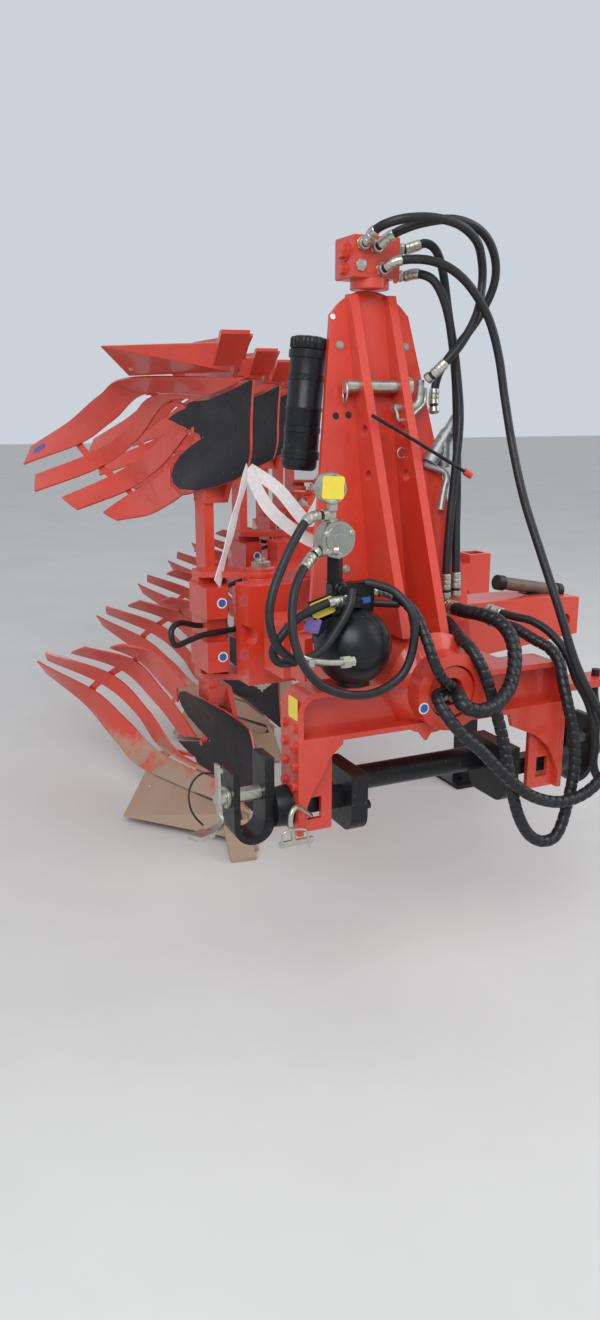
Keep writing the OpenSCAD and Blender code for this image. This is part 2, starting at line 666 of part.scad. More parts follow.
module main_beam() {
    color(RED) {
        translate([pivot_x, pivot_y, axis_z])
            rotate([0, 0, -beam_angle])
                translate([-beam_w / 2, -30, -beam_h / 2])
                    cube([beam_w, beam_length + 150, beam_h]);
        // Head with the width pivot
        translate([0, 0, axis_z - sleeve_h / 2])
            linear_extrude(sleeve_h)
                difference() {
                    union() {
                        polygon([[pivot_x + 48, pivot_y - 148], [width_pivot_x, width_pivot_y - 60],
                                 [width_pivot_x, width_pivot_y + 60], [pivot_x + 60, pivot_y + 60], [pivot_x, pivot_y]]);
                        translate([width_pivot_x, width_pivot_y]) circle(r = 60, $fn = 64);
                    }
                }
        translate([width_pivot_x, width_pivot_y, axis_z - sleeve_h / 2 - 24])
            cylinder(r = pivot_pin_r, h = sleeve_h + 48, $fn = 64);
        // Lug of the width cylinder
        for (m = [0, 1])
            translate([0, 0, axis_z]) mirror([0, 0, m])
                translate([0, 0, lug_gap / 2])
                    linear_extrude(16)
                        union() {
                            translate(width_lug) circle(r = 36, $fn = 64);
                            polygon([width_lug + [0, -36], width_lug + [0, 36], width_lug + [-120, 60], width_lug + [-150, -40]]);
                        }
        for (k = [0:BODY_COUNT - 1])
            translate([pivot_x + k * step_x, pivot_y + k * step_y, axis_z]) {
                // Block in front of the pivot, sleeve and pin
                difference() {
                    translate([-105, -150, -sleeve_h / 2 + 3]) cube([155, 98, sleeve_h - 6]);
                    translate([-105, -151, 0]) rotate([-90, 0, 0]) cylinder(r = 30, h = 60, $fn = 64);
                }
                cylinder(r = sleeve_r, h = sleeve_h, center = true, $fn = 64);
                cylinder(r = pivot_pin_r, h = sleeve_h + 2 * ear_t + 6, center = true, $fn = 64);
            }
    }
}

// Outrigger that carries the parking stand
stand_x = 1030;
stand_y = 1390;
function beam_side(y) = [pivot_x + (y - pivot_y) * tan(beam_angle) + (beam_w / 2 + seat_gap) / cos(beam_angle), y];
module stand_arm() {
    color(RED)
    difference() {
        union() {
            translate([0, 0, axis_z - 55])
                linear_extrude(110)
                    polygon([beam_side(stand_y - 50), [stand_x - 10, stand_y - 50], [stand_x - 10, stand_y + 50], beam_side(stand_y + 50)]);
            translate([stand_x - 50, stand_y - 50, axis_z - 110]) cube([100, 100, 200]);
        }
        translate([stand_x - stand_w / 2 - seat_gap, stand_y - stand_w / 2 - seat_gap, axis_z - 200])
            cube([stand_w + 2 * seat_gap, stand_w + 2 * seat_gap, 400]);
    }
}

module parking_stand() {
    color(RED) {
        translate([stand_x - stand_w / 2, stand_y - stand_w / 2, 12]) cube([stand_w, stand_w, 960]);
        translate([stand_x - 90, stand_y - 90, 0]) cube([180, 180, 12.5]);
    }
}

// Width cylinder between the cross arm and the beam
width_anchor = [640, 720];
width_lug = [275, 1275];
width_len = norm(width_lug - width_anchor);
width_dir = atan2(width_lug[0] - width_anchor[0], width_lug[1] - width_anchor[1]);
lug_gap = 56;

module on_width_cylinder() {
    translate([width_anchor[0], width_anchor[1], axis_z]) rotate([0, 0, -width_dir]) rotate([-90, 0, 0]) children();
}

module width_barrel() {
    color(BLACK)
    on_width_cylinder()
        difference() {
            union() {
                rotate([90, 0, 0]) cylinder(r = 36, h = 50, center = true, $fn = 64);
                translate([0, 0, 50]) cylinder(r = 42, h = 378, $fn = 64);
                translate([-30, -22, 10]) cube([60, 44, 50]);
            }
            rotate([90, 0, 0]) cylinder(r = 18 + run_gap, h = 80, center = true, $fn = 64);
            translate([0, 0, 70]) cylinder(r = 22 + run_gap, h = 400, $fn = 64);
        }
}

module width_rod() {
    color(STEEL)
    on_width_cylinder() {
        translate([0, 0, 250]) cylinder(r = 22, h = width_len - 250, $fn = 64);
        translate([0, 0, width_len]) rotate([90, 0, 0]) cylinder(r = 34, h = 50, center = true, $fn = 64);
        // Pin that reaches to just short of both plates of the lug
        translate([0, 0, width_len]) rotate([90, 0, 0]) cylinder(r = 16, h = lug_gap - 2 * seat_gap, center = true, $fn = 64);
    }
}

// Every piece, moved so that the origin lies on the ground under the middle of the plough
translate([-middle[0], -middle[1], 0]) {
    headstock_yoke();
    tower();
    valve_block();
    top_link_pin();
    cross_shaft();
    link_pins();
    accumulator();
    pressure_gauge();
    canister();
    hoses_gauge();
    hoses_tower();
    hose_holder();
    turnover_barrel();
    turnover_rod();
    swing_head();
    cross_arm();
    width_barrel();
    width_rod();
    main_beam();
    stand_arm();
    parking_stand();
    link_bracket(1);  // link_bracket_left
    link_bracket(-1);  // link_bracket_right
    for (k = [1:BODY_COUNT]) {
        leg(k);
        slats(k);
        straps(k);
        shins(k);
        shares(k);
    }
}
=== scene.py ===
"""Looks of a mounted reversible mouldboard plough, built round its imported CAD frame."""
from math import cos, floor, pi, radians, sin, tan

import bmesh
import bpy
from mathutils import Matrix, Vector


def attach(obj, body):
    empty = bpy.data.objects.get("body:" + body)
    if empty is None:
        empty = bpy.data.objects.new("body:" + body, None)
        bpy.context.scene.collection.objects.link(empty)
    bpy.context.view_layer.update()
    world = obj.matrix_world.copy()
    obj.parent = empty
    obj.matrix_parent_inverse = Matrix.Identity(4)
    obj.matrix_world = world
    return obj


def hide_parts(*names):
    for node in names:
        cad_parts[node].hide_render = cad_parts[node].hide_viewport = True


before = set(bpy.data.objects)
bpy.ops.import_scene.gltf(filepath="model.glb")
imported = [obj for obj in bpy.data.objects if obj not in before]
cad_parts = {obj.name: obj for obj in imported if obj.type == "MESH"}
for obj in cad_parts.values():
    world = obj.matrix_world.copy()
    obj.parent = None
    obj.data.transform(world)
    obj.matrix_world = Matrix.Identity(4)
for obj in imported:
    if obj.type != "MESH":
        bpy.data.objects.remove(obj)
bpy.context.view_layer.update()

# Places are millimetres from the turnover axis at the front of the yoke, as in the part's source.
# MIDDLE turns them into the frame's own place under the middle of the plough.
MIDDLE = Vector((0.657, 2.9076, 0.0))
AXIS_Z = 890
BODY_COUNT = 5
STEP = (474, 865)
PIVOT = (-120, 870)


def mm(x, y, z):
    """A place of the frame in metres from one in millimetres."""
    return Vector((x, y, z)) / 1000 - MIDDLE


def pivot(k):
    """Pivot of the k-th pair of bodies, on the height of the turnover axis."""
    return Vector((PIVOT[0] + (k - 1) * STEP[0], PIVOT[1] + (k - 1) * STEP[1], AXIS_Z))


# Camera and light

# The camera was fitted to the photograph: place in millimetres, angles in degrees
CAMERA_PLACE = (-1284, -1923, 1549)
CAMERA_YAW = 24.92
CAMERA_PITCH = 14.37
FOCAL_PIXELS = 986.3
FRAME_HEIGHT = 1320
SENSOR = 36
# Lamps: name, place, size in metres and power in watts
LAMPS = (("key", (-3500, -4500, 6000), 5.0, 420), ("fill", (5500, -1500, 4500), 5.0, 160))


def make_camera():
    data = bpy.data.cameras.new("camera")
    camera = bpy.data.objects.new("camera", data)
    bpy.context.collection.objects.link(camera)
    camera.location = mm(*CAMERA_PLACE)
    camera.rotation_euler = (radians(90 - CAMERA_PITCH), 0, radians(-CAMERA_YAW))
    data.sensor_fit = "VERTICAL"
    data.sensor_height = SENSOR
    data.lens = SENSOR * FOCAL_PIXELS / FRAME_HEIGHT
    data.clip_end = 100
    bpy.context.scene.camera = camera


def make_light():
    world = bpy.data.worlds.new("sky")
    bpy.context.scene.world = world
    world.use_nodes = True
    sky = world.node_tree.nodes["Background"].inputs
    sky["Color"].default_value = (0.80, 0.86, 0.93, 1)
    sky["Strength"].default_value = 0.75
    for name, place, size, power in LAMPS:
        data = bpy.data.lights.new(name, "AREA")
        data.size = size
        data.energy = power
        lamp = bpy.data.objects.new(name, data)
        lamp.location = mm(*place)
        aim = mm(300, 1200, 800) - lamp.location
        lamp.rotation_euler = aim.to_track_quat("-Z", "Y").to_euler()
        bpy.context.collection.objects.link(lamp)


# Materials


class Shader:
    """Node tree of one material, with short calls for what the materials share."""

    def __init__(self, name, **sockets):
        self.mat = bpy.data.materials.new(name)
        self.mat.use_nodes = True
        self.tree = self.mat.node_tree
        self.bsdf = self.tree.nodes["Principled BSDF"]
        self.coords = self.node("TexCoord").outputs["Object"]
        for socket, value in sockets.items():
            self.bsdf.inputs[socket.replace("_", " ")].default_value = value

    def node(self, kind, **inputs):
        """New node of a kind with its inputs, which are values or the outputs of other nodes."""
        n = self.tree.nodes.new("ShaderNode" + kind)
        for key, value in inputs.items():
            self.put(n.inputs[key.replace("_", " ")], value)
        return n

    def put(self, socket, value):
        if isinstance(value, bpy.types.NodeSocket):
            self.tree.links.new(value, socket)
        else:
            socket.default_value = value

    def noise(self, scale, detail=4, roughness=0.6, stretch=None):
        """Grey noise of that scale, drawn out along an axis where stretch says."""
        place = self.coords
        if stretch:
            place = self.node("Mapping", Vector=place, Scale=stretch).outputs["Vector"]
        n = self.node("TexNoise", Vector=place, Scale=scale, Detail=detail, Roughness=roughness)
        return n.outputs["Fac"]

    def ramp(self, value, low, high, out_low=0.0, out_high=1.0):
        """The stretch of a value from low to high, spread from out_low to out_high."""
        n = self.node("MapRange", Value=value, From_Min=low, From_Max=high, To_Min=out_low, To_Max=out_high)
        n.clamp = True
        return n.outputs["Result"]

    def mix(self, factor, a, b):
        """Colour between two: the sockets of a mix node come by number, since their names repeat."""
        n = self.node("Mix")
        n.data_type = "RGBA"
        self.put(n.inputs[0], factor)
        self.put(n.inputs[6], a)
        self.put(n.inputs[7], b)
        return n.outputs[2]

    def math(self, operation, a, b):
        n = self.node("Math")
        n.operation = operation
        self.put(n.inputs[0], a)
        self.put(n.inputs[1], b)
        return n.outputs[0]

    def height(self):
        return self.node("SeparateXYZ", Vector=self.coords).outputs["Z"]

    def colour(self, value):
        self.put(self.bsdf.inputs["Base Color"], value)

    def rough(self, value):
        self.put(self.bsdf.inputs["Roughness"], value)

    def bump(self, value, strength, distance=0.001):
        n = self.node("Bump", Height=value, Strength=strength, Distance=distance)
        self.tree.links.new(n.outputs["Normal"], self.bsdf.inputs["Normal"])


RED = (0.60, 0.040, 0.016, 1)
RED_DEEP = (0.52, 0.028, 0.012, 1)
RED_CHALKY = (0.60, 0.095, 0.055, 1)
MUD = (0.235, 0.170, 0.112, 1)
TAN = (0.34, 0.265, 0.185, 1)


def red_paint(name, gloss=0.30, wear=0.0, mud_top=None):
    """Red paint: slow change of tone, dust, fine orange peel, and mud below a height where given."""
    s = Shader(name, Coat_Weight=0.45, Coat_Roughness=0.10, Specular_IOR_Level=0.5)
    tone = s.mix(s.ramp(s.noise(2.3, 3), 0.35, 0.68), RED, RED_DEEP)
    dust = s.ramp(s.noise(7.0, 8, 0.7), 0.46 - 0.1 * wear, 0.85, 0.0, 0.45 + 0.4 * wear)
    tone = s.mix(dust, tone, RED_CHALKY)
    specks = s.ramp(s.noise(150.0, 2, 0.5), 0.70 - 0.04 * wear, 0.74, 0.0, 0.5)
    tone = s.mix(specks, tone, MUD)
    rough = s.ramp(s.noise(9.0, 6), 0.3, 0.8, gloss, gloss + 0.25)
    if mud_top:
        edge = s.math("ADD", s.height(), s.ramp(s.noise(6.0, 8, 0.75), 0.3, 0.7, -0.11, 0.11))
        mud = s.ramp(edge, mud_top - 0.05, mud_top + 0.05, 0.92, 0.0)
        tone = s.mix(mud, tone, TAN)
        rough = s.math("MAXIMUM", rough, s.math("MULTIPLY", mud, 0.85))
    s.colour(tone)
    s.rough(rough)
    s.bump(s.noise(260.0, 2), 0.05)
    return s.mat


def black_paint(name, tone=(0.0075, 0.0080, 0.0095, 1), gloss=0.26):
    """Black satin paint with dust in patches and fine scratches."""
    s = Shader(name, Coat_Weight=0.04, Coat_Roughness=0.2, Specular_IOR_Level=0.28)
    dust = s.ramp(s.noise(5.0, 8, 0.7), 0.50, 0.9, 0.0, 0.22)
    grime = s.ramp(s.noise(120.0, 3, 0.6), 0.66, 0.74, 0.0, 0.45)
    colour = s.mix(dust, tone, (0.075, 0.070, 0.066, 1))
    s.colour(s.mix(grime, colour, MUD))
    s.rough(s.ramp(s.noise(14.0, 6), 0.3, 0.75, gloss, gloss + 0.22))
    s.bump(s.noise(90.0, 5, stretch=(1, 1, 0.15)), 0.06)
    return s.mat


def zinc(name, tone=(0.52, 0.52, 0.47, 1)):
    """Zinc-plated steel with a slight yellow cast in patches and fine turning marks."""
    s = Shader(name, Metallic=0.9)
    colour = s.mix(s.ramp(s.noise(24.0, 5), 0.35, 0.7), tone, (0.44, 0.42, 0.33, 1))
    colour = s.mix(s.ramp(s.noise(130.0, 3), 0.62, 0.72, 0.0, 0.55), colour, (0.12, 0.10, 0.08, 1))
    s.colour(colour)
    s.rough(s.ramp(s.noise(60.0, 6), 0.3, 0.75, 0.24, 0.48))
    s.bump(s.noise(220.0, 3), 0.08)
    return s.mat


def galvanised(name):
    """Hot-dip galvanised steel with its spangle."""
    s = Shader(name, Metallic=0.75)
    cells = s.node("TexVoronoi", Vector=s.coords, Scale=90.0).outputs["Color"]
    grey = s.node("SeparateColor", Color=cells).outputs["Red"]
    s.colour(s.mix(s.ramp(grey, 0.0, 1.0), (0.30, 0.31, 0.31, 1), (0.46, 0.47, 0.46, 1)))
    s.rough(s.ramp(grey, 0.0, 1.0, 0.36, 0.58))
    s.bump(s.noise(80.0, 4), 0.08)
    return s.mat


def rubber(name, tone=(0.011, 0.012, 0.014, 1), rough=0.36):
    """Hose rubber: dark, with a dusty bloom and a cloth-like fine bump."""
    s = Shader(name, Specular_IOR_Level=0.35)
    bloom = s.ramp(s.noise(18.0, 8, 0.7), 0.45, 0.8, 0.0, 0.30)
    s.colour(s.mix(bloom, tone, (0.055, 0.055, 0.058, 1)))
    s.rough(s.ramp(s.noise(30.0, 5), 0.3, 0.8, rough, rough + 0.25))
    s.bump(s.noise(500.0, 2), 0.10, 0.0006)
    return s.mat


def plain(name, tone, other, rough, scale=30.0, metallic=0.0, bump=0.05):
    """Two close tones in a noise, for stickers, webbing and small pieces."""
    s = Shader(name, Metallic=metallic)
    s.colour(s.mix(s.ramp(s.noise(scale, 5), 0.3, 0.75), tone, other))
    s.rough(s.ramp(s.noise(scale * 2, 4), 0.3, 0.75, rough, min(1.0, rough + 0.2)))
    s.bump(s.noise(scale * 8, 3), bump)
    return s.mat


def share_paint(name):
    """Red shares above; on the ground the same steel worn to tan with dry soil."""
    return red_paint(name, 0.34, 0.35, mud_top=0.27)


def floor_paint(name):
    s = Shader(name, Specular_IOR_Level=0.2)
    s.colour(s.mix(s.ramp(s.noise(1.5, 4), 0.3, 0.7), (0.60, 0.59, 0.57, 1), (0.64, 0.63, 0.61, 1)))
    s.rough(s.ramp(s.noise(40.0, 3), 0.3, 0.7, 0.85, 0.95))
    return s.mat


MATS = {
    "red": red_paint("red_paint"),
    "red_frame": red_paint("red_frame_paint", 0.34, 0.3),
    "red_body": red_paint("red_body_paint", 0.36, 0.5, mud_top=0.16),
    "share": share_paint("share_paint"),
    "black": black_paint("black_paint"),
    "black_shin": black_paint("black_shin_paint", (0.011, 0.010, 0.013, 1), 0.30),
    "canister": black_paint("canister_plastic", (0.0075, 0.0085, 0.011, 1), 0.24),
    "zinc": zinc("zinc_steel"),
    "chrome": zinc("rod_steel", (0.62, 0.63, 0.62, 1)),
    "galvanised": galvanised("galvanised_steel"),
    "hose": rubber("hose_rubber"),
    "wrap": rubber("spiral_wrap", (0.010, 0.010, 0.012, 1), 0.26),
    "webbing": plain("webbing_cloth", (0.72, 0.70, 0.69, 1), (0.60, 0.56, 0.54, 1), 0.8, 60.0, bump=0.3),
    "yellow": plain("yellow_label", (0.78, 0.62, 0.05, 1), (0.72, 0.56, 0.05, 1), 0.4),
    "blue": plain("blue_label", (0.03, 0.12, 0.42, 1), (0.03, 0.10, 0.36, 1), 0.4),
    "purple": plain("purple_label", (0.20, 0.12, 0.38, 1), (0.24, 0.16, 0.42, 1), 0.4),
    "white": plain("white_label", (0.78, 0.79, 0.80, 1), (0.70, 0.71, 0.72, 1), 0.4),
    "brown": plain("brown_tube", (0.11, 0.075, 0.06, 1), (0.17, 0.12, 0.10, 1), 0.45, metallic=0.2),
    # Near-black of painted shade: flat discs that stand in for the dark inside of holes
    "dark": plain("painted_hole_shade", (0.010, 0.010, 0.011, 1), (0.016, 0.015, 0.014, 1), 0.6),
    "slat": red_paint("slat_paint", 0.32, 0.4, mud_top=0.20),
    "cast": zinc("cast_zinc", (0.36, 0.38, 0.36, 1)),
    "steel": zinc("worn_steel", (0.42, 0.38, 0.32, 1)),
    "floor": floor_paint("floor_paint"),
}


# Shapes

CORNERS = ((-1, -1), (1, -1), (1, 1), (-1, 1))


def cross_axes(axis):
    """An axis as a unit direction, with two directions across it."""
    z = Vector(axis).normalized()
    x = z.orthogonal().normalized()
    return z, x, z.cross(x)


def round_ring(centre, x, y, radii, turn=0.0):
    """Places in metres round a centre, one for each radius, in the plane of the directions x and y."""
    ring = []
    for a, radius in enumerate(radii):
        t = 2 * pi * a / len(radii) + turn
        ring.append(mm(*(centre + (x * cos(t) + y * sin(t)) * radius)))
    return ring


class Form:
    """A mesh that grows from simple shapes, with one material slot for each shape."""

    def __init__(self):
        self.bm = bmesh.new()

    def add(self, points, *faces_of_slots):
        """Adds points, and faces between them as pairs of a material slot and its faces."""
        made = [self.bm.verts.new(p) for p in points]
        for slot, faces in faces_of_slots:
            for face in faces:
                f = self.bm.faces.new([made[i] for i in face])
                f.material_index = slot
                f.smooth = True

    def rings(self, rings, slot=0, loop=False):
        """Skin over a row of rings, closed by a face at each end or, as a loop, by itself."""
        n, count = len(rings[0]), len(rings)
        faces = []
        for i in range(count if loop else count - 1):
            here, ahead = i * n, (i + 1) % count * n
            faces += [(here + a, here + (a + 1) % n, ahead + (a + 1) % n, ahead + a) for a in range(n)]
        if not loop:
            faces.append(tuple(range(n - 1, -1, -1)))
            faces.append(tuple((count - 1) * n + a for a in range(n)))
        self.add([p for ring in rings for p in ring], (slot, faces))

    def turned(self, centre, axis, profile, sides=32, slot=0, turn=0.0):
        """Turned shape: profile holds (height, radius) in millimetres along the axis from the centre."""
        z, x, y = cross_axes(axis)
        self.rings([round_ring(Vector(centre) + z * h, x, y, [r] * sides, turn) for h, r in profile], slot)

    def shell(self, centre, outer, bore, sides=64):
        """Turned shell towards the front with a straight bore: outer holds (height, radius)."""
        z, x, y = cross_axes((0, -1, 0))
        profile = outer + [(outer[-1][0], bore), (outer[0][0], bore)]
        self.rings([round_ring(Vector(centre) + z * h, x, y, [r] * sides) for h, r in profile], loop=True)

    def bolt(self, centre, axis, size=10.0, slot=0):
        """Hexagon head with its washer, standing on centre and pointing along the axis."""
        self.turned(centre, axis, [(0, size * 1.25), (size * 0.22, size * 1.25)], 24, slot)
        head = [(size * 0.2, size), (size * 0.78, size), (size * 0.9, size * 0.86)]
        self.turned(centre, axis, head, 6, slot)

    def bar(self, start, end, half_w, half_h, up=(0, 0, 1), slot=0):
        """Straight bar with a rectangular section between two places."""
        z = (Vector(end) - Vector(start)).normalized()
        x = Vector(up).cross(z).normalized()
        y = z.cross(x)
        self.rings([[mm(*(Vector(p) + x * half_w * i + y * half_h * j)) for i, j in CORNERS]
                    for p in (start, end)], slot)

    def strip(self, path, side, half_w, half_t):
        """Flat bar that follows a path, its wide side along the given direction."""
        rings = []
        for p, n, b, _ in path_frames(path):
            ahead = n.cross(b)
            wide = (Vector(side) - ahead * ahead.dot(Vector(side))).normalized()
            thin = ahead.cross(wide)
            rings.append([mm(*(p + wide * half_w * i + thin * half_t * j)) for i, j in CORNERS])
        self.rings(rings)

    def tube(self, path, radius, sides=16, slot=0, wrapped=False):
        """Round tube along a path, plain or in spiral wrap."""
        rings = []
        for p, n, b, distance in path_frames(path):
            radii = [radius] * sides
            if wrapped:
                radii = [wrap_radius(radius, distance, a / sides) for a in range(sides)]
            rings.append(round_ring(p, n, b, radii))
        self.rings(rings, slot)

    def smooth_tube(self, points, spacing, radius, sides=16, slot=0):
        self.tube(smooth_path(points, spacing), radius, sides, slot)

    def stepped(self, path, steps, sides=20):
        """Turned fitting that follows a path: steps holds (distance, radius)."""
        frames = path_frames(path)
        self.rings([round_ring(*frame_at(frames, distance), [radius] * sides) for distance, radius in steps])

    def sticker(self, centre, normal, up, width, height, slot=0, thick=0.6, corner=0.12):
        """Thin bare label, its corners rounded by a share of its shorter side."""
        z = Vector(normal).normalized()
        y = (Vector(up) - z * Vector(up).dot(z)).normalized()
        x = y.cross(z)
        r = corner * min(width, height)
        outline = []
        for (i, j), start in zip(((1, 1), (-1, 1), (-1, -1), (1, -1)), (0, 90, 180, 270)):
            outline += arc(i * (width / 2 - r), j * (height / 2 - r), r, start, start + 90, 6)
        self.rings([[mm(*(Vector(centre) + z * d + x * px + y * py)) for px, py in outline]
                    for d in (0.02, thick)], slot)

    def decal(self, centre, r, first=1, second=2):
        """Round bare decal on a front face: a blue disc on a white one."""
        front = (0, -1, 0)
        self.sticker(centre, front, (0, 0, 1), 2 * r, 2 * r, second, corner=0.5)
        raised = Vector(centre) + Vector(front) * 0.6
        self.sticker(raised, front, (0, 0, 1), 1.5 * r, 1.5 * r, first, corner=0.5)

    def make(self, name, mats, bevel=0.0, sharp=38, stands_for="", body="headstock"):
        """The finished piece on its body, in place of the node that it stands for."""
        bmesh.ops.recalc_face_normals(self.bm, faces=self.bm.faces)
        mesh = bpy.data.meshes.new(name)
        self.bm.to_mesh(mesh)
        self.bm.free()
        mesh.set_sharp_from_angle(angle=radians(sharp))
        obj = bpy.data.objects.new(name, mesh)
        bpy.context.collection.objects.link(obj)
        for m in mats:
            mesh.materials.append(MATS[m])
        if bevel:
            soften(obj, bevel)
        else:
            obj.modifiers.new("flat_faces", "WEIGHTED_NORMAL").keep_sharp = True
        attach(obj, body)
        if stands_for:
            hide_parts(stands_for)


def soften(obj, width, angle=38):
    """Small round on the sharp edges."""
    bevel = obj.modifiers.new("edge_round", "BEVEL")
    bevel.width = width / 1000
    bevel.segments = 2
    bevel.limit_method = "ANGLE"
    bevel.angle_limit = radians(angle)
    bevel.harden_normals = True


def along(points, s):
    """Place on the smooth curve through the points: s counts the points. Numbers work as well as vectors."""
    last = len(points) - 1
    i = max(0, min(floor(s), last - 1))
    t = s - i
    b, c = points[i], points[i + 1]
    a = points[i - 1] if i > 0 else 2 * b - c
    d = points[i + 2] if i < last - 1 else 2 * c - b
    square = 2 * a - 5 * b + 4 * c - d
    cube = 3 * b - a - 3 * c + d
    return 0.5 * (2 * b + (c - a) * t + square * t * t + cube * t * t * t)


def smooth_path(points, spacing=9.0):
    """Even samples on the smooth curve through the points, in millimetres."""
    points = [Vector(p) for p in points]
    fine = [along(points, i / 24) for i in range(24 * (len(points) - 1) + 1)]
    total = sum((b - a).length for a, b in zip(fine, fine[1:]))
    count = max(2, int(round(total / spacing)))
    step = total / count
    path, walked, target = [fine[0]], 0.0, step
    for a, b in zip(fine, fine[1:]):
        length = (b - a).length
        while walked + length >= target and len(path) < count:
            path.append(a.lerp(b, (target - walked) / length))
            target += step
        walked += length
    path.append(fine[-1])
    return path


def path_frames(path):
    """Place, two side directions and distance for each point of a path."""
    frames = []
    distance = 0.0
    side = None
    for i, p in enumerate(path):
        ahead = path[min(i + 1, len(path) - 1)]
        behind = path[max(i - 1, 0)]
        z = (ahead - behind).normalized()
        side = z.orthogonal().normalized() if side is None else (side - z * side.dot(z)).normalized()
        if i:
            distance += (p - path[i - 1]).length
        frames.append((p, side, z.cross(side), distance))
    return frames


def frame_at(frames, distance):
    for a, b in zip(frames, frames[1:]):
        if b[3] >= distance:
            t = (distance - a[3]) / max(b[3] - a[3], 1e-6)
            return a[0].lerp(b[0], t), a[1].lerp(b[1], t).normalized(), a[2].lerp(b[2], t).normalized()
    return frames[-1][:3]


# Mouldboards. FLOW holds lines of flow from the lowest up, as places from the pivot of a lower body, each
# from the shin to the tip. A place on the board is u along the flow and v across it, in steps of the table.

FLOW = [
    [(75, 220, -752), (-150, 880, -764), (-210, 1110, -710), (-282, 1405, -624), (-410, 1630, -490)],
    [(75, 237, -675), (-53, 867, -705), (-160, 1090, -605), (-255, 1270, -505), (-450, 1450, -390)],
    [(75, 248, -594), (-5, 640, -650), (-95, 930, -520), (-185, 1150, -415), (-430, 1220, -315)],
    [(75, 253, -518), (10, 550, -500), (-75, 820, -430), (-130, 1030, -345), (-305, 1035, -268)],
    [(75, 290, -445), (-20, 530, -410), (-70, 710, -335), (-115, 870, -280), (-210, 920, -242)]]
FLOW = [[Vector(p) for p in row] for row in FLOW]
BOARD_T = 9
# How much shorter a slat's tip is along its lower edge
TIP_SLANT = 0.16
# Slats: u of the start at the lower edge, middle and upper edge, then v of the lower and the upper edge by u
SLATS = [
    [[0.05, 0.20, 0.40], [0.01, 0.01, 0.06, 0.22, 0.12], [0.98, 0.86, 0.97, 0.92, 0.62]],
    [[0.43, 0.49, 0.58], [1.02, 1.02, 1.40, 1.31, 1.18], [1.10, 1.48, 1.80, 1.83, 1.74]],
    [[1.41, 1.31, 1.17], [2.10, 2.10, 2.28, 2.24, 2.29], [2.30, 2.40, 3.00, 3.00, 2.83]],
    [[1.67, 1.77, 1.50], [2.60, 2.70, 3.22, 3.16, 3.42], [4.30, 4.25, 4.18, 4.22, 4.02]]]
# Shin from its foot up: v, and the u of its front and rear edge
SHIN = [(0.12, 0, 0.02), (0.57, 0, 0.17), (1.17, 0, 0.43), (1.6, 0, 0.74), (1.95, 0, 1.02),
        (1.97, 0, 1.38), (2.24, 0, 1.27), (2.44, 0, 1.12), (2.55, 0, 0.98), (2.64, 0, 0.89),
        (2.76, 0, 1.19), (2.88, 0, 1.41), (3.06, 0, 1.57), (3.34, 0, 1.68), (3.66, 0, 1.68),
        (4.01, 0.02, 1.49), (4.2, 0.21, 1.22), (4.35, 0.48, 0.95)]
SLAT_BOLTS = [(1.06, 0.55), (1.06, 0.82), (3.0, 0.45), (3.0, 0.80), (1.06, 1.25), (3.0, 1.42), (3.0, 1.72),
              (1.06, 2.45), (1.35, 2.32), (3.0, 2.42), (3.0, 2.80), (1.75, 3.05), (3.0, 3.30), (1.80, 3.75)]
SHIN_BOLTS = [(0.22, 1.45), (0.25, 2.2), (0.25, 3.1), (0.95, 3.5)]
# Share: front and rear end of its lower and of its upper edge, and the shares of its length with a bolt
SHARE_LOW = (Vector((0, 330, -860)), Vector((-300, 680, -860)))
SHARE_TOP = (Vector((40, 322, -770)), Vector((-150, 876, -770)))
SHARE_BOLTS = (0.06, 0.16, 0.42, 0.60, 0.90)
SHARE_BOLT_RISE = 0.72


def flow(u, v):
    return along([along(row, u) for row in FLOW], v)


def flow_normal(u, v, e=0.02):
    """Direction out of the back of the board."""
    return (flow(u + e, v) - flow(u - e, v)).cross(flow(u, v + e) - flow(u, v - e)).normalized()


def mirrored(v, side):
    """A place or direction of a lower body, turned up for the upper one where side is -1."""
    return Vector((v.x, v.y, v.z * side))


def board(form, k, side, grid, edge_slot=0):
    """Plate on the mouldboard over a grid of places along the flow and across it."""
    rows, cols = len(grid), len(grid[0])
    count = rows * cols
    rear, front = [], []
    for u, v in [place for row in grid for place in row]:
        n = flow_normal(u, v) * (BOARD_T / 2)
        rear.append(mm(*(pivot(k) + mirrored(flow(u, v) + n, side))))
        front.append(mm(*(pivot(k) + mirrored(flow(u, v) - n, side))))
    faces = []
    for a in [r * cols + c for r in range(rows - 1) for c in range(cols - 1)]:
        faces.append((a, a + 1, a + cols + 1, a + cols))
        faces.append((a + count, a + cols + count, a + cols + 1 + count, a + 1 + count))
    rim = list(range(cols)) + [r * cols + cols - 1 for r in range(1, rows)]
    rim += [(rows - 1) * cols + c for c in range(cols - 2, -1, -1)]
    rim += [r * cols for r in range(rows - 2, 0, -1)]
    edges = [(a, b, b + count, a + count) for a, b in zip(rim, rim[1:] + rim[:1])]
    form.add(rear + front, (0, faces), (edge_slot, edges))


def over_three(values, share):
    """Value at a share of the way over three values in even steps."""
    low, middle, high = values
    if share < 0.5:
        return low + (middle - low) * 2 * share
    return middle + (high - middle) * (2 * share - 1)


def slat_grid(slat, length=56, width=6):
    starts, low_edge, high_edge = slat
    grid = []
    for i in range(length + 1):
        row = []
        for j in range(width + 1):
            w = j / width
            start = over_three(starts, w)
            tip = 4 - TIP_SLANT * (1 - w)
            u = start + (tip - start) * i / length
            low, high = along(low_edge, u), along(high_edge, u)
            row.append((u, low + (high - low) * w))
        grid.append(row)
    return grid


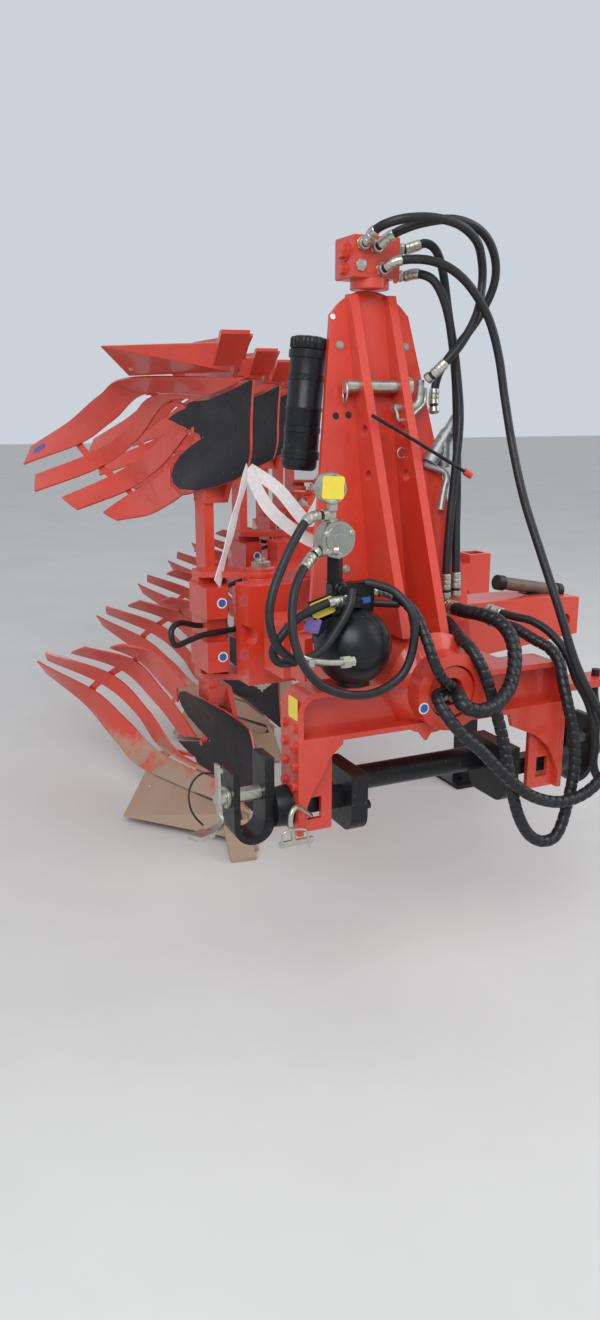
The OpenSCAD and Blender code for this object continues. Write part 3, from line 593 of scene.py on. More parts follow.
def shin_grid(width=10, between=3):
    places = [Vector(s) for s in SHIN]
    rows = [a.lerp(b, i / between) for a, b in zip(places, places[1:]) for i in range(between)] + [places[-1]]
    return [[(front + (rear - front) * j / width, v) for j in range(width + 1)] for v, front, rear in rows]


def make_mouldboards():
    grids = [slat_grid(s) for s in SLATS]
    shin = shin_grid()
    for k in range(1, BODY_COUNT + 1):
        body = f"body_pair_{k}"
        form = Form()
        for side in (1, -1):
            for grid in grids:
                board(form, k, side, grid)
        form.make(f"smooth_slats_{k}", ["slat"], 1.6, 50, f"slats_{k}", body)
        form = Form()
        for side in (1, -1):
            board(form, k, side, shin, edge_slot=1)
        form.make(f"smooth_shins_{k}", ["black_shin", "red"], 1.2, 50, f"shins_{k}", body)
        make_board_bolts(k, body)


def make_board_bolts(k, body):
    """Plough bolts with flat heads in the slats, the shin and the share."""
    form = Form()
    head = [(-1, 10.5), (0.6, 10.5), (1.1, 9.4), (0.5, 8.6)]
    share_head = [(-1, 11), (0.7, 11), (1.3, 9.8), (0.5, 8.8)]
    share_normal = (SHARE_LOW[1] - SHARE_LOW[0]).cross(SHARE_TOP[0] - SHARE_LOW[0]).normalized()
    for side in (1, -1):
        for places, slot in ((SLAT_BOLTS, 0), (SHIN_BOLTS, 1)):
            for u, v in places:
                n = flow_normal(u, v)
                front = pivot(k) + mirrored(flow(u, v) - n * (BOARD_T / 2), side)
                form.turned(front, -mirrored(n, side), head, 20, slot)
        for share in SHARE_BOLTS:
            low, top = SHARE_LOW[0].lerp(SHARE_LOW[1], share), SHARE_TOP[0].lerp(SHARE_TOP[1], share)
            p = low.lerp(top, SHARE_BOLT_RISE)
            form.turned(pivot(k) + mirrored(p, side), -mirrored(share_normal, side), share_head, 20, 2)
    form.make(f"board_bolts_{k}", ["red_body", "black_shin", "steel"], body=body)


# Hoses of the gauge and of the tower: radius and finish of each, then its route

GAUGE_HOSES = [
    (10, "hose", (-297.6, 50, 1317), (-320, 50, 1317), (-345, 48, 1312), (-372, 40, 1288),
     (-417, 20, 1228), (-457, 0, 1157), (-467, -10, 1094), (-445, -15, 1038), (-400, -20, 1011),
     (-344, -15, 1027), (-297, -2, 1070), (-264, 7, 1114), (-251, 20, 1150)),
    (10, "hose", (-317.8, 48, 1239.9), (-337.7, 48, 1227.4), (-381, 20, 1192), (-410, -5, 1143),
     (-419, -28, 1067), (-400, -46, 1000), (-355, -50, 952), (-285, -50, 925), (-219, -52, 926),
     (-157, -52, 959), (-129, -50, 1024), (-127, -40, 1094), (-151, 0, 1140), (-187, 25, 1156),
     (-208, 38, 1160)),
    (10, "hose", (-261, 54.6, 1123), (-261, 38, 1123), (-283, 31, 1123), (-315, 30, 1120),
     (-384, 20, 1097), (-434, 14, 1056), (-451, 12, 1025), (-436, 10, 1002), (-397, 8, 1000)),
    (11, "wrap", (-174.6, 70, 1131), (-155, 70, 1131), (-140, 50, 1130), (-120, 20, 1116),
     (-106, -20, 1086), (-100, -60, 1035), (-91, -80, 987), (-58, -66, 941), (-22, -50, 915),
     (-5, -30, 906), (-3, 25, 905))]
TOWER_HOSES = [
    (11, "hose", (-48, 371, 1940), (-48, 348, 1940), (-45, 325, 1959), (-27, 292, 1974), (16, 266, 1985),
     (86, 262, 1990), (165, 270, 1981), (227, 285, 1950), (260, 306, 1906), (270, 316, 1853),
     (247, 300, 1780), (192, 284, 1705), (140, 295, 1647), (115, 320, 1617)),
    (11, "hose", (-11, 371, 1934), (-11, 352, 1934), (2, 335, 1950), (26, 312, 1966), (85, 302, 1986),
     (171, 304, 1999), (247, 312, 1985), (295, 320, 1950), (321, 330, 1897), (319, 342, 1840),
     (286, 360, 1765), (237, 378, 1699), (197, 388, 1639), (180, 385, 1580), (176, 375, 1534)),
    (11, "hose", (60.4, 390, 1936), (84, 390, 1936), (109, 378, 1944), (132, 368, 1950), (157, 360, 1933),
     (176, 355, 1883), (192, 350, 1792), (209, 345, 1693), (213, 330, 1593), (208, 310, 1466),
     (201, 290, 1337), (193, 275, 1234), (189, 262, 1140), (188, 258, 1060)),
    (11, "hose", (7, 371, 1883), (7, 352, 1883), (23, 335, 1896), (63, 320, 1903), (114, 308, 1900),
     (167, 297, 1881), (216, 285, 1840), (262, 270, 1769), (290, 258, 1679), (304, 240, 1567),
     (308, 200, 1442), (306, 140, 1319), (303, 60, 1198), (315, -10, 1064), (337, -55, 940),
     (376, -80, 848), (423, -95, 778), (470, -50, 748), (503, 30, 765), (512, 60, 803), (512, 60, 870)),
    (11, "hose", (60.4, 390, 1872), (84, 390, 1872), (106, 362, 1876), (137, 335, 1858), (167, 325, 1803),
     (188, 318, 1718), (202, 312, 1631), (204, 295, 1517), (183, 275, 1389), (164, 262, 1261),
     (151, 250, 1143), (150, 250, 1060)),
    (16, "wrap", (12, 20, 878), (12, -10, 878), (4, -40, 890), (-14, -72, 893), (-14, -100, 876),
     (27, -106, 863), (81, -97, 874), (129, -75, 905), (162, -45, 956), (174, -10, 1003), (173, 40, 1033),
     (157, 100, 1043), (150, 160, 1040), (150, 220, 1040), (150, 262, 1040)),
    (13, "wrap", (-18, 20, 880), (-18, -10, 880), (-42, -35, 894), (-66, -60, 892), (-58, -95, 856),
     (-20, -115, 805), (18, -122, 772), (83, -135, 704), (156, -140, 643), (243, -140, 610),
     (322, -135, 613), (381, -130, 641), (421, -125, 673), (480, -98, 694), (540, -20, 730),
     (560, 45, 780), (562, 60, 815), (562, 60, 870)),
    (13, "wrap", (118, 253.3, 1011), (118, 215, 1011), (112, 180, 1011), (91, 110, 1003), (62, 40, 1000),
     (54, -12, 990), (67, -45, 947), (86, -55, 893), (103, -60, 837), (117, -70, 779), (124, -90, 708),
     (129, -105, 648), (144, -115, 584), (173, -120, 532), (212, -120, 504), (257, -115, 501),
     (284, -110, 529), (309, -100, 588), (330, -90, 662), (331, -80, 752), (322, -60, 826),
     (323, -32, 884), (327, -10, 925), (322, 25, 954), (303, 60, 970), (286, 110, 988), (284, 150, 990),
     (282, 236, 990)),
    (11, "hose", (300, 262, 1015), (300, 150, 1015), (322, 100, 1010), (345, 50, 985), (360, 2, 940),
     (370, -30, 879), (395, -50, 822), (411, -60, 761), (420, -60, 706), (416, -64, 653), (440, -70, 612),
     (520, -70, 600), (590, -30, 680), (611, 45, 775), (612, 60, 810), (612, 60, 870))]
# Spiral wrap: pitch, share of it that is groove, depth of the groove and thickness of the wrap
WRAP_PITCH = 22.0
GROOVE_SHARE = 0.16
GROOVE_DEPTH = 1.6
WRAP_T = 1.8
# Ferrule: distance from the hose's start, and radius beyond the hose's own
FERRULE = [(0, 1), (3, 3.5), (15, 3.5), (16, -1), (22, -1), (23, 2.6), (34, 2.6), (35, 1.6), (38, 2.6),
           (46, 2.6), (47, 1.6), (50, 2.6), (62, 2.2), (64, 0.5)]
# Tower hoses that end above this height have a ferrule at that end too
HOLDER_TOP = 900


def wrap_radius(radius, distance, share):
    """Radius of a wrapped hose at a distance along it and a share of the turn round it."""
    in_groove = (distance / WRAP_PITCH + share) % 1.0 < GROOVE_SHARE
    return radius - GROOVE_DEPTH if in_groove else radius + WRAP_T


def make_hoses():
    for place, hoses in (("gauge", GAUGE_HOSES), ("tower", TOWER_HOSES)):
        form = Form()
        for radius, finish, *route in hoses:
            if finish == "wrap":
                form.tube(smooth_path(route, 2.75), radius, 16, 1, wrapped=True)
            else:
                form.smooth_tube(route, 9.0, radius, 18)
        mats = ["hose", "wrap"]
        form.make(f"smooth_{place}_hoses", mats, sharp=80, stands_for=f"hoses_{place}")


def make_ferrules():
    """Crimped ferrules with their hexagon nuts at the ends of the hoses."""
    form = Form()
    for hose in GAUGE_HOSES + TOWER_HOSES:
        radius, _, *route = hose
        path = smooth_path(route, 6.0)
        steps = [(distance, radius + more) for distance, more in FERRULE]
        form.stepped(path, steps, 18)
        if hose in TOWER_HOSES and route[-1][2] > HOLDER_TOP:
            form.stepped(path[::-1], steps, 18)
    form.make("hose_ferrules", ["zinc"], 0.6)


# Plates cut from flat steel


def plate_mesh(outlines, t, edge):
    """Mesh of a level plate with soft edges, its holes among the outlines."""
    curve = bpy.data.curves.new("plate", "CURVE")
    curve.dimensions = "2D"
    curve.fill_mode = "BOTH"
    curve.extrude = t / 2 - edge
    curve.bevel_depth = edge
    curve.bevel_resolution = 1
    curve.offset = -edge
    for points in outlines:
        spline = curve.splines.new("POLY")
        spline.points.add(len(points) - 1)
        for point, (x, y) in zip(spline.points, points):
            point.co = (x, y, 0, 1)
        spline.use_cyclic_u = True
    obj = bpy.data.objects.new("plate", curve)
    bpy.context.collection.objects.link(obj)
    mesh = bpy.data.meshes.new_from_object(obj.evaluated_get(bpy.context.evaluated_depsgraph_get()))
    bpy.data.objects.remove(obj)
    bpy.data.curves.remove(curve)
    return mesh


def add_plate(form, outlines, t, edge, middle, turn):
    mesh = plate_mesh(outlines, t, edge)
    mesh.transform(Matrix.Translation(-MIDDLE) @ Matrix.Scale(0.001, 4) @ Matrix.Translation(middle) @ turn)
    start = len(form.bm.verts)
    form.bm.from_mesh(mesh)
    form.bm.verts.ensure_lookup_table()
    bmesh.ops.remove_doubles(form.bm, verts=form.bm.verts[start:], dist=0.00001)
    form.bm.verts.ensure_lookup_table()
    for v in form.bm.verts[start:]:
        for f in v.link_faces:
            f.smooth = True
    bpy.data.meshes.remove(mesh)


def upright_plate(form, outlines, y, t, edge=1.2, place=(0, 0, AXIS_Z)):
    """Plate across the plough, its front face at y. Outlines are (x, z) from the place."""
    middle = Vector(place) + Vector((0, y + t / 2, 0))
    add_plate(form, outlines, t, edge, middle, Matrix.Rotation(radians(90), 4, "X"))


def level_plate(form, outlines, z, t, edge=1.2):
    """Level plate, its middle at z. Outlines are (x, y)."""
    add_plate(form, outlines, t, edge, Vector((0, 0, z)), Matrix.Identity(4))


def arc(cx, cy, r, start, end, steps=10):
    turns = [radians(start + (end - start) * i / steps) for i in range(steps + 1)]
    return [(cx + r * cos(t), cy + r * sin(t)) for t in turns]


def round_top(w, foot, top, r):
    """Outline of a plate with round shoulders."""
    return [(-w, foot), (w, foot)] + arc(w - r, top - r, r, 0, 90) + arc(-w + r, top - r, r, 90, 180)


def hole(x, y, r, steps=32):
    return arc(x, y, r, 0, 360 * (steps - 1) / steps, steps - 1)


def rectangle(x0, y0, x1, y1):
    return [(x0, y0), (x1, y0), (x1, y1), (x0, y1)]


def eye(x, y, r, foot):
    """Outline of a lug with a round end."""
    return [(x - r, foot), (x + r, foot)] + arc(x, y, r, 0, 180, 24)


# Yoke. Heights are from the turnover axis.

YOKE_W = 385
YOKE_FRONT = 20
YOKE_DEPTH = 100
YOKE_PLATE = 14
YOKE_RISE = 28
SHOULDER_R = 50
FOOT = -320
FOOT_W = 97
SHELF = -82
SADDLE_W = 232
RECESS_Y = 62
BOSS_R = 110
MOUTH_R = 95
MOUTH_Y = -26
SHAFT_R = 62.3
# Plates that meet lie steps of NUDGE out of one plane and INSET inside the rim, so that no faces coincide
NUDGE = 0.4
INSET = 2
GUSSETS = (
    (-1, [(-268, -94), (-268, -105), (-303, -135), (-320, -172), (-345, -210), (-362, -250), (-372, -290)]),
    (1, [(205, -94), (216, -130), (291, -164), (335, -200), (355, -236), (372, -275)]))


def make_yoke():
    """Yoke of folded plate: a rim round a recessed panel, with shelf, gussets, feet, saddle and boss."""
    form = Form()
    inner_w = YOKE_W - YOKE_PLATE
    hull = round_top(YOKE_W, FOOT, YOKE_RISE, SHOULDER_R)
    inner = round_top(inner_w, FOOT - 5, YOKE_RISE - YOKE_PLATE, SHOULDER_R - YOKE_PLATE)
    rim = hull[:1] + [(-inner_w, FOOT)] + inner[::-1][:-2] + [(inner_w, FOOT)] + hull[1:]
    upright_plate(form, [rim], YOKE_FRONT, YOKE_DEPTH)
    edge_x = YOKE_W - INSET
    panel = round_top(edge_x, SHELF - YOKE_PLATE, YOKE_RISE - INSET, SHOULDER_R)
    for y in (RECESS_Y, YOKE_FRONT + YOKE_DEPTH - YOKE_PLATE):
        upright_plate(form, [panel, hole(0, 0, SHAFT_R, 48)], y, YOKE_PLATE)
    shelf = rectangle(-edge_x, SHELF - YOKE_PLATE, edge_x, SHELF)
    upright_plate(form, [shelf], YOKE_FRONT + NUDGE, YOKE_DEPTH - 2 * NUDGE)
    for s, points in GUSSETS:
        gusset = [(s * edge_x, -94)] + points + [(s * edge_x, -290)]
        upright_plate(form, [gusset], YOKE_FRONT + 2 * NUDGE, YOKE_PLATE)
    for s in (-1, 1):
        foot = rectangle(s * edge_x, FOOT, s * (YOKE_W - FOOT_W), SHELF - INSET)
        window = rectangle(s * (YOKE_W - 33), FOOT + 30, s * (YOKE_W - 69), FOOT + 85)
        upright_plate(form, [foot, window], YOKE_FRONT + 20, YOKE_PLATE)
    stop = [(-80, SHELF - 1), (-40, SHELF - 49), (-4, SHELF - 1)]
    upright_plate(form, [stop], YOKE_FRONT + 3 * NUDGE, YOKE_PLATE)
    saddle = rectangle(-SADDLE_W, -100, SADDLE_W, YOKE_RISE)
    upright_plate(form, [saddle, hole(0, 0, SHAFT_R, 48)], YOKE_FRONT + YOKE_DEPTH - 1, 181)
    form.shell((0, 300, AXIS_Z), [(0, BOSS_R), (238, BOSS_R)], SHAFT_R)
    mouth = [(0, 128), (8, 122), (30, 101), (36, MOUTH_R), (RECESS_Y - MOUTH_Y, MOUTH_R)]
    form.shell((0, RECESS_Y, AXIS_Z), mouth, 66)
    form.make("yoke_fine", ["red_frame"], stands_for="headstock_yoke")


def make_yoke_bolts():
    form = Form()
    for s in (-1, 1):
        for z in (832, 787, 740, 690):
            for y in (40, 96):
                form.bolt((s * YOKE_W, y, z), (s, 0, 0))
    form.make("yoke_bolts", ["red_frame"])


def make_labels():
    """Bare labels on the yoke, the accumulator's valve and their small carriers."""
    form = Form()
    front, across = (0, -1, 0), (0, 1, 0)
    yellow, blue, purple, black = 0, 1, 3, 4
    form.sticker((-YOKE_W, 50, 880), (-1, 0, 0), (0, 0, 1), 50, 52, yellow)
    form.decal((-80, MOUTH_Y, 860), 14)
    form.bar((-345, 42, 1100), (-275, 42, 1120), 26, 2, across, black)
    form.sticker((-316, 39.8, 1110), front, (-0.3, 0, 1), 58, 40, yellow)
    form.sticker((-341, 39.8, 1072), front, (0.3, 0, 1), 40, 34, purple)
    form.bar((-345, 42, 1060), (-300, 42, 1100), 26, 2, across, black)
    form.sticker((-232, 54.8, 1112), front, (-0.1, 0, 1), 96, 14, blue)
    form.make("bare_labels", ["yellow", "blue", "white", "purple", "black"])


# Linkage


def make_cross_shaft():
    """Round shaft between two cranks, with square stubs out to the hubs of the lower links."""
    form = Form()
    stub_y, stub_z, shaft_y, shaft_z, hub_x = 84, 628, 150, 638, 427.2
    crank_x, crank_w, crank_low, crank_top = 222.5, 45, 590, 700
    form.turned((-245, shaft_y, shaft_z), (1, 0, 0), [(0, 32), (490, 32)], 48)
    crank = arc(stub_y - 24, crank_low, 40, 180, 270) + arc(shaft_y - 10, crank_low, 40, 270, 360)
    crank += [(shaft_y + 30, crank_top), (stub_y - 64, crank_top)]
    for s in (-1, 1):
        form.rings([[mm(s * crank_x + dx, y, z) for y, z in crank] for dx in (-crank_w / 2, crank_w / 2)])
        a, b = sorted((s * 240, s * (hub_x - 20)))
        form.bar((a, stub_y, stub_z), (b, stub_y, stub_z), 22, 22)
        form.turned((s * hub_x, stub_y, stub_z), (-s, 0, 0), [(0, 45), (2, 46), (hub_x - YOKE_W, 50)], 48)
        form.turned((s * hub_x, stub_y, stub_z), (-s, 0, 0), [(-1, 30), (0, 34)], 32)
    form.make("cross_shaft_fine", ["black"], 1.5, stands_for="cross_shaft")


LINK_X = 482.5


def make_link_brackets():
    """U-shaped brackets, open at the top, the cheek towards the plough's middle thicker and higher."""
    gap, bow_z, inner_top, outer_top = 31, 603, 762, 733
    inner, outer = gap + 24, gap + 16
    outline = [(-inner, inner_top), (-inner, bow_z)]
    outline += arc((outer - inner) / 2, bow_z, (inner + outer) / 2, 180, 360, 20)[1:-1]
    outline += [(outer, bow_z), (outer, outer_top), (gap, outer_top), (gap, bow_z)]
    outline += arc(0, bow_z, gap, 360, 180, 20)[1:-1] + [(-gap, bow_z), (-gap, inner_top)]
    for s, side in ((-1, "left"), (1, "right")):
        form = Form()
        upright_plate(form, [[(s * x, z) for x, z in outline]], 60, 80, 2.0, (s * LINK_X, 0, 0))
        node = f"link_bracket_{side}"
        form.make(f"{node}_fine", ["black"], stands_for=node)


def make_link_pins():
    """Lower link pins with their collars and flat handles, which are bent to the front."""
    form = Form()
    y, z, handle_y = 100, 667, 84
    for s in (-1, 1):
        x = s * LINK_X
        out = (s, 0, 0)
        for start, profile in ((-55, [(0, 17), (1.5, 18.3), (126, 18.3), (130, 14)]),
                               (47.3, [(0, 26), (8, 26), (9, 24)]), (-64, [(0, 20), (8, 21), (9, 19)])):
            form.turned((x + s * start, y, z), out, profile, 40)
        handle = [(78, handle_y, 758), (77, handle_y, 710), (77, handle_y, z), (77, 78, 640), (82, 62, 622),
                  (104, 40, 620), (130, 18, 624)]
        form.strip(smooth_path([(x + s * px, py, pz) for px, py, pz in handle], 7), (0, 1, 0), 11, 4)
        form.bar((x + s * 124, 24, 623), (x + s * 168, -8, 630), 19, 6)
        form.turned((x + s * 62, y, z), out, [(0, 12), (19, 12), (21, 9)], 6)
        form.turned((x + s * 74, handle_y, 740), out, [(-8, 7), (6, 7)], 16)
    form.make("link_pins_fine", ["zinc"], 1.2, stands_for="link_pins")


def make_hose_holder():
    form = Form()
    outline = rectangle(YOKE_W, 20, YOKE_W + 250, 100)
    holes = [hole(x, 60, r) for x, r in ((512, 11.3), (562, 13.3), (612, 11.3))]
    level_plate(form, [outline] + holes, 842, 20)
    form.make("hose_holder_fine", ["red_frame"], stands_for="hose_holder")


# Half the height of a knuckle, from the turnover axis to its upper and lower face
KNUCKLE_TOP = 153.3


def make_cross_arm():
    """Arm of the turnover frame, tapered, with the lugs of the width cylinder and the width pivot."""
    form = Form()
    front, depth, h, reach = 520, 140, 165, 838
    arm = [(-200, -h / 2), (500, -h / 2), (reach, -48), (reach, 71), (700, h / 2), (-200, h / 2)]
    upright_plate(form, [arm, hole(reach - 52, 0, 20)], front, depth, 2.5)
    x, y = 640, 720
    for z in (AXIS_Z - 36, AXIS_Z + 36):
        level_plate(form, [eye(x, y, 45, front + depth - 1), hole(x, y, 18)], z, 20, 2)
    form.turned((x, y, AXIS_Z - 47), (0, 0, 1), [(0, 16), (2, 17.9), (92, 17.9), (94, 16)], 32)
    x, y, ear_r, ear_t = 62, 850, 60, 25
    for s in (-1, 1):
        ear = [eye(x, y, ear_r, front + 60), hole(x, y, 26)]
        level_plate(form, ear, AXIS_Z + s * (KNUCKLE_TOP + ear_t / 2), ear_t, 2)
        block = rectangle(x - ear_r, front + 60, x + ear_r, front + depth)
        level_plate(form, [block], AXIS_Z + s * (h / 2 + 36), 74, 2)
    form.make("cross_arm_fine", ["red_frame"], stands_for="cross_arm", body="turnover_frame")


# Tower, valve block and hydraulics

PORT = [(0, 17), (5, 17), (6, 15), (14, 14)]
VALVE_Y = 421.2
VALVE_FACE = VALVE_Y - 46
VALVE_LEFT = -71


def make_valve_block():
    form = Form()
    z = 1837.4
    front = (0, -1, 0)
    form.turned((0, VALVE_Y, z), (0, 0, 1), [(0, 48), (2, 50), (26, 50)], 48)
    level_plate(form, [rectangle(VALVE_LEFT, VALVE_FACE, 60, VALVE_Y + 54)], z + 74, 100, 4)
    form.turned((-22, VALVE_FACE, 1887), front, [(0, 17), (1.5, 17), (2, 16)], 40)
    for x, z in ((-60, 1872), (-60, 1952), (49, 1952), (49, 1858)):
        form.turned((x, VALVE_FACE, z), front, [(-1, 7), (0.3, 7)], 24)
    form.make("valve_block_fine", ["red"], stands_for="valve_block")
    form = Form()
    form.bolt((VALVE_LEFT, VALVE_Y, 1925), (-1, 0, 0), 19, 1)
    form.bolt((VALVE_LEFT, VALVE_Y + 5, 1885), (-1, 0, 0), 14, 1)
    for x, z in ((-48, 1940), (-11, 1934), (7, 1883)):
        form.turned((x, VALVE_FACE, z), front, PORT, 6)
    for z in (1936, 1872):
        form.turned((60, 390, z), (1, 0, 0), PORT, 6)
    form.turned((-50, VALVE_FACE, 1890), front, [(0, 16), (4, 16), (5, 13)], 6)
    form.make("valve_ports", ["zinc", "red"], 0.8)


def make_gauge():
    """Pressure gauge on its stem over the round valve of the accumulator."""
    form = Form()
    front, up = (0, -1, 0), (0, 0, 1)
    cast, zinc_slot, white, yellow, black = 0, 1, 2, 3, 5
    x, z = -281, 1263
    form.turned((x, 70, z), front, [(0, 41), (2, 43), (36, 43), (40, 41), (41, 33), (45, 32)], 64, cast)
    for a in (25, 155, 270):
        t = radians(a)
        form.bolt((x + 34 * cos(t), 29, z + 34 * sin(t)), front, 6.5, zinc_slot)
    form.turned((x, 25, z), front, [(-1, 15), (1.2, 15), (1.8, 14)], 40, cast)
    stem = [(0, 13), (12, 13), (13, 9), (30, 9), (31, 12), (46, 12)]
    form.turned((-288, 50, 1296), up, stem, 24, zinc_slot)
    form.turned((-297, 50, 1317), (-1, 0, 0), [(-12, 14), (3, 14), (4, 12)], 6, zinc_slot)
    x, z = -294, 1376
    dial = [(0, 33), (3, 35), (24, 35), (28, 33), (28.2, 29), (24, 28)]
    form.turned((x, 62, z), front, dial, 64, zinc_slot)
    form.turned((x, 40, z), front, [(-1, 28.5), (3, 28.5)], 48, white)
    form.sticker((x, 34, z + 2), front, (0.06, 0, 1), 54, 50, yellow)
    form.bar((-270, 60, 1166), (-270, 80, 1166), 20, 1, up, black)
    form.turned((-270, 70, 1158), up, [(0, 20), (90, 20)], 4, black, radians(45))
    form.turned((-262, 62, 1146), front, [(0, 17), (9, 17), (11, 14), (22, 13), (24, 11)], 24, black)
    mats = ["cast", "zinc", "white", "yellow", "dark", "black"]
    form.make("gauge_fine", mats, stands_for="pressure_gauge")


def make_gauge_pipes():
    form = Form()
    elbow = smooth_path([(-281, 27, 1240), (-300, 40, 1240), (-322, 47, 1240)], 3)
    form.stepped(elbow, [(0, 11), (14, 11), (15, 14), (26, 14), (40, 14)])
    form.smooth_tube([(-236, 50, 1124), (-200, 70, 1110), (-140, 95, 1096), (-77, 110, 1086)], 6, 9, 14, 1)
    form.smooth_tube([(-412, -24, 1026), (-378, -30, 1010), (-335, -36, 1002), (-299, -40, 1000)], 4, 7, 14)
    form.turned((-292, -40, 1000), (1, 0, 0), [(-14, 15), (4, 15), (6, 12), (16, 12)], 6)
    form.turned((-378, -30, 1006), (0, 0, 1), [(-9, 13), (9, 13)], 6)
    form.turned((-229, 55, 1104), (0, 0, 1), [(0, 24), (14, 24), (15, 19), (26, 19)], 6, 1)
    form.make("gauge_pipes", ["zinc", "black"], 0.7)


def make_canister():
    """Black pressure canister with bands and a lobed cap."""
    form = Form()
    tilt = radians(5.4)
    z, x, y = cross_axes((sin(tilt), 0, cos(tilt)))
    base = Vector((-183, 455, 1390))
    profile = [(0, 34), (4, 42), (12, 46), (28, 46), (29, 50), (50, 50), (51, 46), (150, 46), (152, 47.5),
               (160, 47.5), (162, 46), (280, 46), (281, 50), (300, 50), (302, 45)]
    form.turned(base, z, profile, 64)
    sides, lobes, lobe_height, lobes_top = 96, 12, 0.05, 333
    cap = []
    for h, r in ((302, 44), (306, 47), (326, 47), (331, 44), (334, 36), (335, 20)):
        height = lobe_height if h < lobes_top else 0
        radii = [r * (1 + height * cos(lobes * 2 * pi * a / sides)) for a in range(sides)]
        cap.append(round_ring(base + z * h, x, y, radii))
    form.rings(cap)
    form.bar((-178, 490, 1515), (-154, 490, 1515), 30, 15)
    form.make("canister_fine", ["canister"], 0.8, stands_for="canister")
    form = Form()
    for h in (95, 225):
        form.turned(base + z * h, z, [(0, 46.3), (1, 47.6), (15, 47.6), (16, 46.3)], 64)
    form.make("canister_bands", ["canister"])


LEAN = radians(11.5)


def tower_y(z):
    """Front face of the tower's leaning plate at a height."""
    return 240 + (z - 921.5) * tan(LEAN)


def make_tower_bolts():
    """Bolts, two holes shown as flat dark discs of painted shade, and one white plug on the tower's leaning
    plate.
    """
    form = Form()
    out = (0, -cos(LEAN), sin(LEAN))
    for x, z in ((-128, 1150), (128, 1150), (-150, 1010), (150, 1010), (-95, 1700), (95, 1700)):
        form.bolt((x, tower_y(z) - 0.5, z), out, 9)
    # The two discs in slot 1 are painted shade that stands in for holes; the third, in slot 2, is the white
    # plug
    for x, z, r, rise, slot in ((-122, 1528, 9, 0.6, 1), (-86, 1530, 9, 0.6, 1), (-108, 1770, 7, 0.5, 2)):
        form.turned((x, tower_y(z), z), out, [(-1, r), (rise, r)], 24, slot)
    form.make("tower_bolts", ["zinc", "dark", "white"])


def loop_path(centre, across, up, step):
    """Closed round path round a centre: across and up are its half widths."""
    turns = [radians(a) for a in range(0, 361, step)]
    return [Vector(centre) + Vector(across) * cos(t) + Vector(up) * sin(t) for t in turns]


def make_top_pin_clips():
    """Collar, ring clip, hook and small ring at the top link pin."""
    form = Form()
    form.turned((46, 345, 1600), (1, 0, 0), [(0, 21), (2, 23), (24, 23), (26, 21)], 40)
    form.smooth_tube(loop_path((-106, 345, 1586), (5.5, 22, 0), (0, 0, 26), 20), 4, 2.6, 10)
    hook = [(24, 322, 1550), (30, 318, 1532), (34, 316, 1517), (60, 318, 1522), (100, 330, 1545),
            (122, 340, 1562), (126, 342, 1580), (124, 342, 1598)]
    form.smooth_tube(hook, 5, 6, 12)
    form.smooth_tube(loop_path((36, 300, 1436), (13, 0, 0), (0, 0, 13), 24), 3, 2.4, 10)
    form.make("top_pin_clips", ["zinc"])


# Rods and tubes beside the tower: spacing of the path, radius, sides, material slot and points
GUIDE_TUBES = [
    (8, 4.5, 12, 0, [(-67, 276, 1530), (20, 250, 1480), (120, 222, 1420), (172, 206, 1388)]),
    (4, 9, 16, 1, [(166, 208, 1392), (184, 202, 1380)]),
    (9, 17, 28, 2, [(233, 352, 1520), (186, 341, 1462), (140, 330, 1409)]),
    (9, 21, 28, 2, [(202, 345, 1482), (137, 330, 1405)]),
    (9, 15, 24, 2, [(181, 330, 1462), (184, 330, 1395)]),
    (6, 9, 16, 2, [(122, 330, 1405), (153, 322, 1394), (172, 312, 1384), (178, 306, 1368), (167, 300, 1338),
                   (153, 292, 1287)]),
    (5, 10, 16, 2, [(105, 332, 1617), (104, 332, 1580), (96, 331, 1556), (70, 330, 1549), (24, 330, 1547)])]


def make_guide_tubes():
    form = Form()
    for spacing, radius, sides, slot, points in GUIDE_TUBES:
        form.smooth_tube(points, spacing, radius, sides, slot)
    form.make("guide_tubes", ["black", "red", "galvanised"])


def make_linch_clips():
    """Bent pin in the yoke's foot with its spring clip, and the cable that ties the link pin's handle."""
    form = Form()
    bend = [(-340, 48, 606), (-356, 34, 622), (-374, 20, 638), (-392, 2, 655), (-410, -14, 662),
            (-422, -20, 650), (-424, -21, 628), (-418, -21, 600), (-416, -21, 584)]
    form.smooth_tube(bend, 4, 6, 14)
    form.turned((-452, -20, 580), (1, 0, 0), [(0, 5), (2, 7.5), (84, 7.5), (86, 5)], 24)
    clip = [(-444, -22, 574), (-449, -30, 590), (-449, -32, 606), (-440, -32, 616), (-415, -32, 617),
            (-392, -32, 612), (-386, -31, 600), (-380, -26, 580), (-376, -22, 562)]
    form.smooth_tube(clip, 3, 2.6, 12)
    cable = [(-573, 74, 741), (-606, 58, 752), (-634, 40, 744), (-650, 24, 722), (-650, 12, 692),
             (-638, 12, 668), (-622, 14, 648)]
    form.smooth_tube(cable, 5, 2.4, 10, 1)
    form.make("linch_clip", ["zinc", "hose"])


def make_rear_crank():
    form = Form()
    form.smooth_tube([(-206, 140, 584), (-206, 150, 560), (-170, 158, 552), (-120, 160, 556)], 6, 12)
    form.make("crank_behind", ["black"])


